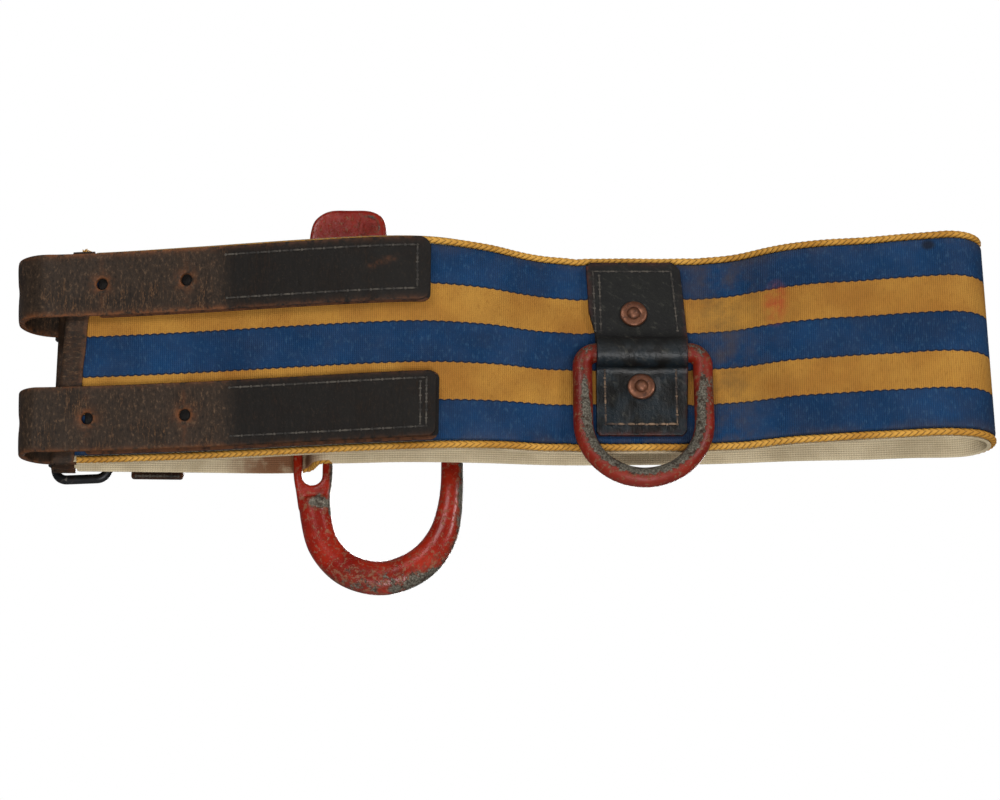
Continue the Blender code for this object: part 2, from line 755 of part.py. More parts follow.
# ---------------------------------------------------------------- D-ring
def make_dring():
    """A round bar bent to a D, its straight bar on the object's origin."""
    points = [(-RING_HALF + RING_CORNER, 0.0)]
    points += arc_points(RING_HALF - RING_CORNER, -RING_CORNER, RING_CORNER, 90, 0, 5)
    points += arc_points(0.0, -RING_DROP, RING_HALF, 0, -180, 17)
    points += arc_points(-RING_HALF + RING_CORNER, -RING_CORNER, RING_CORNER, 180, 90, 5)[:-1]
    route = [(a, b, 0.0) for a, b in points]
    mesh = tube_mesh(route, [RING_BAR] * len(route), 4, True)
    part = place("dring", mesh, RED)
    part.matrix_world = BELT.matrix(BELT.s_at_x(RING_X), RING_W, RING_H)


def tab_profile():
    """Side view of the tab, bottom to top: flat, up over the ring's bar, and flat again."""
    flat = OUTER_FACE + TAB_CLEAR + TAB_THICK / 2
    reach = RING_BAR + GAP + TAB_THICK / 2
    line = [(TAB_BOTTOM_W, flat), (RING_W - 20 * MM, flat), (RING_W - 9.5 * MM, flat),
            (RING_W - 7.0 * MM, flat + 0.9 * MM)]
    line += arc_points(RING_W, RING_H, reach, 188, -8, 11)
    line += [(RING_W + 7.0 * MM, flat + 0.9 * MM), (RING_W + 9.5 * MM, flat),
             (RING_W + 20 * MM, flat), (TAB_TOP_W, flat)]
    return Profile(smooth_line(line, 3))


def tab_length(profile, w):
    """Length along the tab at height w on one of its flats."""
    rise = profile.points[:, 0]
    return float(np.interp(w, rise, profile.length))


def make_tab():
    profile = tab_profile()
    total = float(profile.length[-1])
    centre = BELT.s_at_x(58 * MM)
    half = TAB_THICK / 2
    outline = [(-18.3, 1.5), (-17.0, 0.0), (18.0, 0.0), (19.8, 2.0), (20.9, 28.0),
               (20.9, 57.0), (20.2, 66.0), (18.4, 88.0), (15.0, 91.5), (-19.5, 91.5),
               (-21.4, 89.5), (-20.6, 68.0), (-18.2, 58.0), (-18.0, 28.0)]
    scale = total / (91.5 * MM)
    plan = [(a * MM, b * MM * scale) for a, b in outline]
    mesh = outline_plate([plan], -half, half)
    mesh = crease(mesh, profile.stations(0.0, total, 16.0, 0.03), axis=1)
    mesh = crease_again(mesh, [step * 5 * MM for step in range(-3, 4)], axis=0)
    seats = []
    for x, w in RIVETS.values():
        spot = (BELT.s_at_x(x) - centre, tab_length(profile, w))
        seats.append(cylinder_mesh(RIVET_SHANK + GAP, -6 * MM, 6 * MM, spot))
    mesh = combine(mesh, seats, 'DIFFERENCE')

    def bend(a, t, n):
        w, h = profile.offset(t, n)
        return BELT.at(centre + a, w, h)

    place("dring_tab", wrap(mesh, bend), BLACK_LEATHER)


def make_tab_rivet(side):
    """A copper rivet: flat head inside the lining, peened over a burr on the tab."""
    x, w = RIVETS[side]
    tab_face = OUTER_FACE + TAB_CLEAR + TAB_THICK
    burr_top = tab_face + GAP + BURR_THICK
    head_top = LINING_INNER - GAP
    shank = RIVET_SHANK
    profile = [(0.0, burr_top + 1.6 * MM), (1.5 * MM, burr_top + 1.3 * MM),
               (2.7 * MM, burr_top + 0.3 * MM), (shank, burr_top + 0.25 * MM), (shank, head_top),
               (5.0 * MM, head_top), (5.3 * MM, head_top - 0.5 * MM),
               (4.6 * MM, head_top - 1.0 * MM), (0.0, head_top - 1.1 * MM)]
    placement = BELT.matrix(BELT.s_at_x(x), w, 0.0)
    part = place("tab_rivet_" + side, turned_mesh(profile), COPPER)
    part.matrix_world = placement
    bore = shank + GAP
    low = tab_face + GAP
    ring = [(bore, burr_top), (3.4 * MM, burr_top), (BURR_RADIUS, low + 0.45 * MM),
            (BURR_RADIUS, low), (bore, low), (bore, burr_top)]
    burr = place("tab_burr_" + side, turned_mesh(ring), COPPER)
    burr.matrix_world = placement


# ---------------------------------------------------------------- snap hook
def stand_plate(outlines, thickness, bevel, centre_y=HOOK_Y):
    """An upright plate from outlines in (x, z), millimetres, about the hook's plane."""
    scaled = [[(x * MM, z * MM) for x, z in outline] for outline in outlines]
    half = thickness / 2 * MM
    mesh = outline_plate(scaled, -half, half, bevel * MM)
    mesh.transform(Matrix.Rotation(math.radians(90), 4, 'X'))
    mesh.transform(Matrix.Translation((0, centre_y * MM, 0)))
    return mesh


def cross_cylinder(radius, low_y, high_y, centre):
    """A cylinder along Y through (x, z), millimetres."""
    mesh = cylinder_mesh(radius * MM, low_y * MM, high_y * MM, segments=24)
    mesh.transform(Matrix.Rotation(math.radians(-90), 4, 'X'))
    mesh.transform(Matrix.Translation((centre[0] * MM, 0, centre[1] * MM)))
    return mesh


def hook_bar():
    """The round bar of the hook, from the spine's foot to its nose, slightly flattened."""
    line = smooth_line([(x, z, r) for x, z, r in U_ROUTE], 2)
    points = [(x * MM, 0.0, z * MM) for x, z, _ in line]
    radii = [r * MM for _, _, r in line]
    mesh = tube_mesh(points, radii, 3)
    mesh.transform(Matrix.Scale(U_FLATTEN, 4, (0, 1, 0)))
    mesh.transform(Matrix.Translation((0, HOOK_Y * MM, 0)))
    return mesh


def spine_outline():
    left = smooth_line([(-84.6, -63), (-85.7, -56), (-87.0, -48), (-87.0, -20), (-87.0, 40),
                        (-85.6, 47), (-83.6, 53)], 2)
    right = smooth_line([(-68.6, 53), (-69.6, 45), (-70.4, 36), (-70.4, -20), (-70.6, -50),
                         (-71.3, -57), (-71.3, -63)], 2)
    return [tuple(p) for p in left] + [tuple(p) for p in right]


def head_outline():
    line = smooth_line([(-82.4, 52), (-82.3, 59), (-80.3, 66.2), (-74.5, 70.4), (-65, 70.9),
                        (-56, 70.5), (-51, 67.6), (-49.2, 61.5), (-50.2, 52)], 2)
    foot = [(-51.5, 49.5), (-54, 48.5), (-79, 48.5), (-81.5, 49.5)]
    return [tuple(p) for p in line] + foot


def make_hook_body():
    slot = rounded_outline(*SLOT, [4.2, 4.2, 2.5, 2.5], 4)
    spine = stand_plate([spine_outline(), slot], PLATE_THICK, 1.1)
    head = stand_plate([head_outline()], HEAD_THICK, 1.2)
    mesh = combine(spine, [head, hook_bar()], 'UNION')
    fork = box_mesh((-65 * MM, FORK_Y[0] * MM, 40 * MM), (-40 * MM, FORK_Y[1] * MM, 67.6 * MM))
    seat = turned_mesh(pivot_profile(0.3 * MM, 2.0 * MM, 0.15 * MM), 28)
    seat.transform(pivot_placement())
    mesh = combine(mesh, [fork, seat], 'DIFFERENCE')
    place("hook_body", mesh, RED)


def pivot_profile(wider=0.0, proud=0.0, deeper=0.0):
    """Half section of the gate's rivet, or of its seat when it is enlarged."""
    top = HEAD_THICK / 2 * MM + proud
    under = HEAD_THICK / 2 * MM - PIVOT_HEAD_THICK * MM - deeper
    head = PIVOT_HEAD * MM + wider
    shank = PIVOT_SHANK * MM + wider
    return [(0.0, top), (head, top), (head, under), (shank, under), (shank, -under),
            (head, -under), (head, -top), (0.0, -top)]


def gate_line(distance, side):
    """A point beside the gate's middle line, millimetres from its pivot."""
    run = Vector(GATE_TIP) - Vector(GATE_PIVOT)
    along = run.normalized()
    across = Vector((-along.y, along.x))
    return tuple(Vector(GATE_PIVOT) + along * distance + across * side)


def make_hook_gate():
    reach = (Vector(GATE_TIP) - Vector(GATE_PIVOT)).length
    bar = [gate_line(GATE_START, -3.2), gate_line(reach - 3.5, -GATE_HALF),
           gate_line(reach - 0.8, -2.6), gate_line(reach, 0.0), gate_line(reach - 0.8, 2.6),
           gate_line(reach - 3.5, GATE_HALF), gate_line(GATE_START, 3.2)]
    start = math.degrees(math.atan2(GATE_TIP[1] - GATE_PIVOT[1], GATE_TIP[0] - GATE_PIVOT[0]))
    ear = arc_points(*GATE_PIVOT, GATE_EAR, start + 90, start + 270, 13)
    ear += [gate_line(GATE_START + 6, -2.8), gate_line(GATE_START + 6, 2.8)]
    thick = stand_plate([bar], GATE_THICK, 1.0)
    ear_middle = sum(EAR_Y) / 2
    thin = stand_plate([ear], EAR_Y[1] - EAR_Y[0], 0.0, ear_middle)
    mesh = combine(thick, [thin], 'UNION')
    bore = cross_cylinder(PIVOT_SHANK + 0.3, EAR_Y[0] - 2, EAR_Y[1] + 2, GATE_PIVOT)
    mesh = combine(mesh, [bore], 'DIFFERENCE')
    pivot = Vector((GATE_PIVOT[0] * MM, HOOK_Y * MM, GATE_PIVOT[1] * MM))
    mesh.transform(Matrix.Translation(-pivot))
    part = place("hook_gate", mesh, RED)
    part.location = pivot


def pivot_placement():
    return (Matrix.Translation((GATE_PIVOT[0] * MM, HOOK_Y * MM, GATE_PIVOT[1] * MM))
            @ Matrix.Rotation(math.radians(-90), 4, 'X'))


def make_gate_rivet():
    """A rivet with a flush head on each cheek of the fork."""
    part = place("gate_rivet", turned_mesh(pivot_profile()), RED)
    part.matrix_world = pivot_placement()


def make_gate_spring():
    """A torsion coil beside the gate's eye, with a short leg at each end."""
    first = EAR_Y[1] - HOOK_Y + 0.3 + SPRING_WIRE
    turns = []
    count = int(SPRING_TURNS * 14)
    for step in range(count + 1):
        angle = math.radians(150 - 360 * SPRING_TURNS * step / count)
        lift = first + SPRING_PITCH * SPRING_TURNS * step / count
        turns.append((SPRING_RADIUS * math.cos(angle), SPRING_RADIUS * math.sin(angle), lift))
    start = Vector(turns[0])
    before = start + Vector((-0.5, -0.87, 0.0)) * 4.0
    end = Vector(turns[-1])
    after = end + Vector((0.5, 0.87, 0.0)) * 2.0
    route = [before] + [Vector(p) for p in turns] + [after]
    points = [p * MM for p in route]
    mesh = tube_mesh(points, [SPRING_WIRE * MM] * len(points), 1)
    part = place("gate_spring", mesh, STEEL)
    part.matrix_world = pivot_placement()


def main():
    make_belt_body()
    for side in STRAPS:
        make_strap(side)
        make_strap_base(side)
        make_frame(side)
        make_roller(side)
        make_prong(side)
        make_chape(side)
        make_keeper(side)
    make_dring()
    make_tab()
    for side in RIVETS:
        make_tab_rivet(side)
    make_hook_body()
    make_hook_gate()
    make_gate_rivet()
    make_gate_spring()


main()
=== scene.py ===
"""Looks for the firefighter's safety belt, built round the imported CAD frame.

Soft pieces are laid out on a bench as (s, w, h): s along the belt, w across its width and h
outward through its thickness. The bench point is kept on each mesh as the attribute "bench",
so that weave, grain and wear follow the piece. Metres.
"""
import math

import bmesh
import bpy
import numpy as np
from mathutils import Matrix, Vector, noise


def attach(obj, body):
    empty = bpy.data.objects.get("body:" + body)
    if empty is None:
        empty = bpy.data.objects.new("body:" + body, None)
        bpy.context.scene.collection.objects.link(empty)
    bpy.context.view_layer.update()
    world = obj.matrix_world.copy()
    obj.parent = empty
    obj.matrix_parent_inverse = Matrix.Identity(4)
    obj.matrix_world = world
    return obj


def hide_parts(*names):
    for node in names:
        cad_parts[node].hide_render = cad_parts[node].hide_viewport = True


MM = 0.001

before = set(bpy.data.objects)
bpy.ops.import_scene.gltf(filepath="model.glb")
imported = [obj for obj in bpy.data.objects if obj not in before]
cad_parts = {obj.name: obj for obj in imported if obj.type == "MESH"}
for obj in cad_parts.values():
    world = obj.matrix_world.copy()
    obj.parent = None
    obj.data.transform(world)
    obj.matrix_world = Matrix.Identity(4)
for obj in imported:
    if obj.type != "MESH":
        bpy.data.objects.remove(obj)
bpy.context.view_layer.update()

# ---------------------------------------------------------------- measures shared with the CAD
BELT_HALF = 45.0 * MM
WEB_HALF = 41.6 * MM
LINING_HALF = 44.0 * MM
OUTER_FACE = 2.0 * MM
WEB_INNER = -0.6 * MM
LINING_OUTER = -0.9 * MM
LINING_INNER = -2.0 * MM
GAP = 0.3 * MM
CORD_RADIUS = 1.4 * MM
CORD_W = 43.4 * MM
CORD_H = 0.75 * MM
FRONT_END_X = -183.5 * MM
FRONT_SLANT = 0.1
BACK_END_X = -188.5 * MM
FRONT_ROUTE = [(-196, 11.0, -10), (-184, 10.2, -10), (-166, 8.6, -10), (-125, 2.5, -12),
               (-83, -5, -13), (-52, -9.8, -12), (-30, -11, -8), (-6, -7, 0), (20, 2.6, 6),
               (36, 3.8, 7), (60, 4.1, 7), (84, 3.4, 7), (98, 0.6, 6), (123, -11, 3),
               (153, -17.5, 3), (180, -22.6, 2)]
RIGHT_FOLD = (187, -9, 14)
BACK_RIGHT = [(172, 6.5, 0), (153, 9, 0), (123, 11, 0), (93, 15, 0), (63, 16.6, 0),
              (23, 17, 0), (-10, 13.5, 0), (-41, 12.3, 0), (-60, 13.8, 0)]
BACK_LEFT = [(-98, 29.3, 0), (-124, 28.2, 0), (-160, 26.8, 0), (-184, 26, 0), (-200, 25.4, 0)]
STRAP_THICK = 3.0 * MM
BASE_THICK = 1.2 * MM
STRAPS = {
    "upper": dict(w=(17.6, 43.0), end_x=-30.0, base_x=-169.0, holes=(-167.2, -130.5)),
    "lower": dict(w=(-40.4, -13.0), end_x=-26.0, base_x=-174.5, holes=(-173.5, -132.4)),
}
STRAP_FRONT_H = OUTER_FACE + GAP + BASE_THICK + GAP + STRAP_THICK / 2
HOLE_RADIUS = 2.5 * MM
STRAP_CORNER = 3.5 * MM
HEEL_X = -166.5 * MM
HEEL_H = 6.2 * MM
FRAME_BAR = 2.0 * MM
FRAME_LENGTH = 23.0 * MM
FRAME_HALF = 19.5 * MM
FRAME_CORNER = 5.0 * MM
ROLLER_RISE = 4.0 * MM
ROLLER_RADII = (2.35 * MM, 3.3 * MM)
ROLLER_HALF = 13.5 * MM
PRONG_RING_HALF = 2.8 * MM
PRONG_RADIUS = 1.5 * MM
PRONG_SHANK = [(2.6, 1.5), (8.5, 4.1), (15.5, 7.2), (20.0, 8.7), (23.0, 9.1), (28.0, 8.9)]
CHAPE_THICK = 1.6 * MM
CHAPE_HALF = 13.8 * MM
KEEPER_THICK = 1.8 * MM
KEEPER_X = (-32.0 * MM, -10.0 * MM)
STRAP_BUCKLE = [(-47.5, 7.6), (-30, 7.6), (-18, 7.7), (-12, 8.4), (-8, 9.9), (-4, 11.5),
                (0, 12.0), (5, 10.4), (12, 7.9), (18, 5.9), (21.5, 5.2), (24, 5.1)]
LEFT_FOLD = (-190.5, 18.2, 12.8)
RING_X = 59.5 * MM
RING_W = -3.0 * MM
RING_BAR = 4.15 * MM
RING_HALF = 25.1 * MM
RING_DROP = 31.6 * MM
RING_CORNER = 6.0 * MM
RING_H = OUTER_FACE + 0.9 * MM + RING_BAR
TAB_X = 58.0 * MM
TAB_THICK = 2.2 * MM
TAB_CLEAR = 0.5 * MM
TAB_TOP_W = 41.0 * MM
TAB_BOTTOM_W = -39.5 * MM
TAB_PLAN = 91.5                  # length of the tab's flat plan, before it is laid on its profile
RIVETS = {"upper": (56.4 * MM, 16.3 * MM), "lower": (58.9 * MM, -17.6 * MM)}
BURR_THICK = 0.9 * MM
HOOK_Y = 22.0                    # the hook and its gate are measured in millimetres
PLATE_THICK = 6.0
HEAD_THICK = 9.0
SLOT = (-83.3, -74.8, -52.9, 45.5)
U_FLATTEN = 0.76
U_ROUTE = [(-78.0, -58.5, 6.7), (-77.1, -67, 6.6), (-73.6, -78.8, 6.7), (-64.2, -88.9, 7.0),
           (-50.2, -92.8, 7.2), (-38.2, -89.7, 7.2), (-29.6, -83.3, 6.9), (-23.7, -73.8, 6.2),
           (-21.2, -63.5, 5.4), (-20.3, -54, 4.9), (-20.2, -40, 4.7), (-20.2, -12, 4.7),
           (-20.4, 9, 4.4)]
GATE_PIVOT = (-57.0, 63.0)
GATE_TIP = (-27.4, 2.0)
GATE_EAR = 4.2
GATE_HALF = 4.0
GATE_START = 19.0
GATE_THICK = 6.0
EAR_Y = (19.55, 21.55)
FORK_Y = (19.3, 24.7)

# ---------------------------------------------------------------- finer measures of the looks
BELT_STEP = 1.4 * MM             # between the rings of the webbing and the lining
CORD_STEP = 0.42 * MM            # between the rings of a cord
STITCH_PITCH = 4.6 * MM
STITCH_RADIUS = 0.42 * MM
STITCH_LIFT = 0.02 * MM
BRAID_PITCH = 2.6 * MM
SCALLOP_MM = 3.3
HEM_HALF = 45.3 * MM             # the lining turns outwards under the cords as far as this
HEM_TOP = 0.3 * MM
BINDING_DEPTH = 8.5 * MM
BINDING_THICK = 1.0 * MM
BLACK_FROM_X = -114 * MM         # where the straps' worn brown gives way to black
SEWN_X = -113.0                  # where the straps' stitching starts, millimetres
STRIPE_IN_MM = 8.65
STRIPE_OUT_MM = 24.65
TUFT_SEED = 7
TUFT_STRANDS = 34
STRAND_POINTS = 9
FRAME_RINGS = 150
RING_SIDES = 32
FLOOR_Z = -2.2
CAMERA_AIM = (0.0, 0.0, -0.0218)
CAMERA_AWAY = 1.1
CAMERA_RISE = -18.0              # degrees; the belt is seen from a little below
CAMERA_LENS = 95.0


# ---------------------------------------------------------------- curves through points
def smooth_line(points, per_span=10):
    """Centripetal Catmull-Rom line through the points, with per_span samples a span."""
    points = np.asarray(points, float)
    first = 2 * points[0] - points[1]
    last = 2 * points[-1] - points[-2]
    padded = np.vstack([first, points, last])
    line = []
    for i in range(1, len(padded) - 2):
        line.extend(one_span(padded[i - 1:i + 3], per_span))
    line.append(points[-1])
    return np.array(line)


def one_span(quad, count):
    p0, p1, p2, p3 = quad
    t0 = 0.0
    t1 = t0 + knot_step(p0, p1)
    t2 = t1 + knot_step(p1, p2)
    t3 = t2 + knot_step(p2, p3)
    samples = []
    for t in np.linspace(t1, t2, count, endpoint=False):
        a1 = p0 * (t1 - t) / (t1 - t0) + p1 * (t - t0) / (t1 - t0)
        a2 = p1 * (t2 - t) / (t2 - t1) + p2 * (t - t1) / (t2 - t1)
        a3 = p2 * (t3 - t) / (t3 - t2) + p3 * (t - t2) / (t3 - t2)
        b1 = a1 * (t2 - t) / (t2 - t0) + a2 * (t - t0) / (t2 - t0)
        b2 = a2 * (t3 - t) / (t3 - t1) + a3 * (t - t1) / (t3 - t1)
        samples.append(b1 * (t2 - t) / (t2 - t1) + b2 * (t - t1) / (t2 - t1))
    return samples


def knot_step(a, b):
    return max(float(np.linalg.norm((b - a)[:2])), 1e-6) ** 0.5


def arc_points(cx, cy, radius, start, stop, count):
    """Points on an arc, angles in degrees."""
    angles = np.radians(np.linspace(start, stop, count))
    return [(cx + radius * math.cos(a), cy + radius * math.sin(a)) for a in angles]


def rounded_outline(a_low, a_high, b_low, b_high, radii, steps=8):
    """A rectangle with its own radius at each corner: low-low, high-low, high-high, low-high."""
    corners = [(a_low, b_low, 1, 1, 180), (a_high, b_low, -1, 1, 270),
               (a_high, b_high, -1, -1, 0), (a_low, b_high, 1, -1, 90)]
    outline = []
    for (a, b, side_a, side_b, start), radius in zip(corners, radii):
        centre = (a + side_a * radius, b + side_b * radius)
        outline.extend(arc_points(*centre, radius, start, start + 90, steps + 1))
    return outline


class Profile:
    """A plane line, measured along its length, with a left-hand normal."""

    def __init__(self, points):
        self.points = np.asarray(points, float)
        steps = np.linalg.norm(np.diff(self.points[:, :2], axis=0), axis=1)
        self.length = np.concatenate([[0.0], np.cumsum(steps)])
        tangents = np.gradient(self.points[:, :2], self.length, axis=0)
        self.tangents = tangents / np.linalg.norm(tangents, axis=1)[:, None]

    def look_up(self, t, rows, column):
        return np.interp(t, self.length, rows[:, column])

    def tangent(self, t):
        x = self.look_up(t, self.tangents, 0)
        y = self.look_up(t, self.tangents, 1)
        size = np.hypot(x, y)
        return x / size, y / size

    def offset(self, t, n):
        x, y = self.tangent(t)
        a = self.look_up(t, self.points, 0)
        b = self.look_up(t, self.points, 1)
        return a - y * n, b + x * n


class Ribbon(Profile):
    """A route in plan with a height and a lean: bends bench points (s, w, h) into space."""

    def axes(self, s):
        x, y = self.tangent(s)
        lean = np.radians(self.look_up(s, self.points, 3))
        flat = np.zeros_like(x)
        along = np.stack([x, y, flat], -1)
        up = np.stack([-y * np.sin(lean), x * np.sin(lean), np.cos(lean)], -1)
        out = np.stack([y * np.cos(lean), -x * np.cos(lean), np.sin(lean)], -1)
        return along, up, out

    def bend(self, bench):
        bench = np.asarray(bench, float).reshape(-1, 3)
        s = bench[:, 0]
        up, out = self.axes(s)[1:]
        base = np.stack([self.look_up(s, self.points, k) for k in range(3)], -1)
        return base + up * bench[:, 1:2] + out * bench[:, 2:3]

    def at(self, s, w, h):
        return Vector(self.bend([(s, w, h)])[0])

    def matrix(self, s, w, h):
        """A placement whose X, Y and Z run along s, w and h."""
        along, up, out = [Vector(axis[0]) for axis in self.axes(np.array([s]))]
        turn = Matrix((along, up, out)).transposed().to_4x4()
        return Matrix.Translation(self.at(s, w, h)) @ turn

    def s_near(self, target):
        gaps = np.linalg.norm(self.points[:, :2] - np.asarray(target)[:2], axis=1)
        return float(self.length[int(np.argmin(gaps))])

    def s_at_x(self, x, back=False):
        """The length where the front or the back half passes x."""
        half = self.length > self.length[int(np.argmax(self.points[:, 0]))]
        rows = np.where(half == back)[0]
        order = rows[np.argsort(self.points[rows, 0])]
        return float(np.interp(x, self.points[order, 0], self.length[order]))


def slot_bend():
    slot_x = (SLOT[0] + SLOT[1]) / 2
    radius = 5.6
    steep = 71.0
    right_y = 14.6
    left_y = 28.6
    rise = left_y - right_y - 2 * radius * (1 - math.cos(math.radians(steep)))
    run = 2 * radius * math.sin(math.radians(steep)) + rise / math.tan(math.radians(steep))
    lower = arc_points(slot_x + run / 2, right_y + radius, radius, -90, -90 - steep, 5)
    upper = arc_points(slot_x - run / 2, left_y - radius, radius, 90 - steep, 90, 5)
    return [(x, y, 0) for x, y in lower + upper]


def belt_ribbon():
    fold = [(x, y, 1) for x, y in arc_points(*RIGHT_FOLD, -90, 90, 7)]
    rows = FRONT_ROUTE + fold + BACK_RIGHT + slot_bend() + BACK_LEFT
    route = [(x * MM, y * MM, 0.0, lean) for x, y, lean in rows]
    return Ribbon(smooth_line(route))


BELT = belt_ribbon()
HEEL_S = BELT.s_at_x(HEEL_X, back=True)
FRONT_END = BELT.s_at_x(FRONT_END_X)
BACK_END = BELT.s_at_x(BACK_END_X, back=True)
TAB_S = BELT.s_at_x(TAB_X)
SLOT_S = BELT.s_at_x((SLOT[0] + SLOT[1]) / 2 * MM, back=True)


def strap_ribbon():
    rows = []
    for x, h in STRAP_BUCKLE:
        rows.append((*BELT.at(HEEL_S + x * MM, 0.0, h * MM), 0.0))
    fold = arc_points(*LEFT_FOLD, 100, 262, 8)
    for step, (x, y) in enumerate(fold):
        share = (step / (len(fold) - 1)) ** 2
        rows.append((x * MM, y * MM, -0.9 * MM * share, -10.0 * share))
    first = BELT.s_at_x(-186 * MM)
    for s in np.arange(first, BELT.s_at_x(-10 * MM), 0.006):
        lean = float(BELT.look_up(s, BELT.points, 3))
        rows.append((*BELT.at(s, 0.0, STRAP_FRONT_H), lean))
    return Ribbon(smooth_line(rows))


STRAP = strap_ribbon()


def front_s(x):
    """Length on the strap's route where its front run passes x."""
    turn = int(np.argmin(STRAP.points[:, 0]))
    return float(np.interp(x, STRAP.points[turn:, 0], STRAP.length[turn:]))


# ---------------------------------------------------------------- node materials
def tint(red, green, blue):
    """A display colour, 0 to 255, as a linear one."""
    values = [c / 255 for c in (red, green, blue)]
    return (*[((c + 0.055) / 1.055) ** 2.4 for c in values], 1.0)


class Look:
    """A node material built by short calls, each of which returns a socket."""

    def __init__(self, name, roughness=0.6, metallic=0.0, specular=None):
        self.material = bpy.data.materials.new(name)
        self.material.use_nodes = True
        self.tree = self.material.node_tree
        self.shader = self.tree.nodes["Principled BSDF"]
        self.shader.inputs["Roughness"].default_value = roughness
        self.shader.inputs["Metallic"].default_value = metallic
        if specular is not None:
            self.shader.inputs["Specular IOR Level"].default_value = specular

    def node(self, kind, **settings):
        made = self.tree.nodes.new("ShaderNode" + kind)
        for key, value in settings.items():
            setattr(made, key, value)
        return made

    def feed(self, socket, value):
        if isinstance(value, bpy.types.NodeSocket):
            self.tree.links.new(value, socket)
        else:
            socket.default_value = value

    def math(self, operation, a, b=0.0):
        made = self.node("Math", operation=operation)
        self.feed(made.inputs[0], a)
        self.feed(made.inputs[1], b)
        return made.outputs[0]

    def times(self, a, b):
        return self.math("MULTIPLY", a, b)

    def plus(self, a, b):
        return self.math("ADD", a, b)

    def ramp(self, value, low, high, start=0.0, stop=1.0):
        """value from low to high as start to stop, smoothly."""
        made = self.node("MapRange", interpolation_type="SMOOTHSTEP")
        for socket, number in zip(made.inputs, (value, low, high, start, stop)):
            self.feed(socket, number)
        return made.outputs[0]

    def mix(self, share, a, b):
        made = self.node("Mix", data_type="RGBA")
        self.feed(made.inputs[0], share)
        self.feed(made.inputs[6], a)
        self.feed(made.inputs[7], b)
        return made.outputs[2]

    def tones(self, value, low, high, first, second):
        """One colour where value is low, another where it is high."""
        return self.mix(self.ramp(value, low, high), tint(*first), tint(*second))

    def stain(self, base, value, low, high, most, *colour):
        """A colour laid over base, as far as most, where value is high."""
        return self.over(base, self.ramp(value, low, high, 0.0, most), *colour)

    def over(self, base, share, *colour):
        return self.mix(share, base, tint(*colour))

    def place(self):
        return self.node("Attribute", attribute_name="bench").outputs["Vector"]

    def value(self, name):
        return self.node("Attribute", attribute_name=name).outputs["Fac"]

    def solid(self):
        return self.node("TexCoord").outputs["Object"]

    def split(self, vector):
        return self.node_fed("SeparateXYZ", vector).outputs

    def node_fed(self, kind, value, **settings):
        made = self.node(kind, **settings)
        self.feed(made.inputs[0], value)
        return made

    def stretch(self, vector, amounts):
        made = self.node_fed("VectorMath", vector, operation="MULTIPLY")
        made.inputs[1].default_value = amounts
        return made.outputs[0]

    def noise(self, vector, scale, detail=3.0, rough=0.5):
        made = self.node_fed("TexNoise", vector)
        made.inputs["Scale"].default_value = scale
        made.inputs["Detail"].default_value = detail
        made.inputs["Roughness"].default_value = rough
        return made.outputs["Fac"]

    def cracks(self, vector, scale):
        made = self.node_fed("TexVoronoi", vector, feature="DISTANCE_TO_EDGE")
        made.inputs["Scale"].default_value = scale
        return made.outputs["Distance"]

    def spot(self, vector, centre, size):
        """1 at a centre, falling to 0 at the size away from it on each axis."""
        away = self.node_fed("VectorMath", vector, operation="SUBTRACT")
        away.inputs[1].default_value = centre
        near = self.stretch(away.outputs[0], [1 / part for part in size])
        gap = self.node_fed("VectorMath", near, operation="LENGTH").outputs["Value"]
        return self.ramp(gap, 0.35, 1.0, 1.0, 0.0)

    def wave(self, value, period):
        """0 to 1 and back over each period of a length."""
        turned = self.math("SINE", self.times(value, 2 * math.pi / period))
        return self.plus(self.times(turned, 0.5), 0.5)

    def colour(self, value):
        self.feed(self.shader.inputs["Base Color"], value)

    def rough(self, value):
        self.feed(self.shader.inputs["Roughness"], value)

    def metal(self, value):
        self.feed(self.shader.inputs["Metallic"], value)

    def bump(self, height, depth, strength=1.0):
        made = self.node("Bump")
        made.inputs["Strength"].default_value = strength
        made.inputs["Distance"].default_value = depth
        self.feed(made.inputs["Height"], height)
        self.feed(self.shader.inputs["Normal"], made.outputs[0])


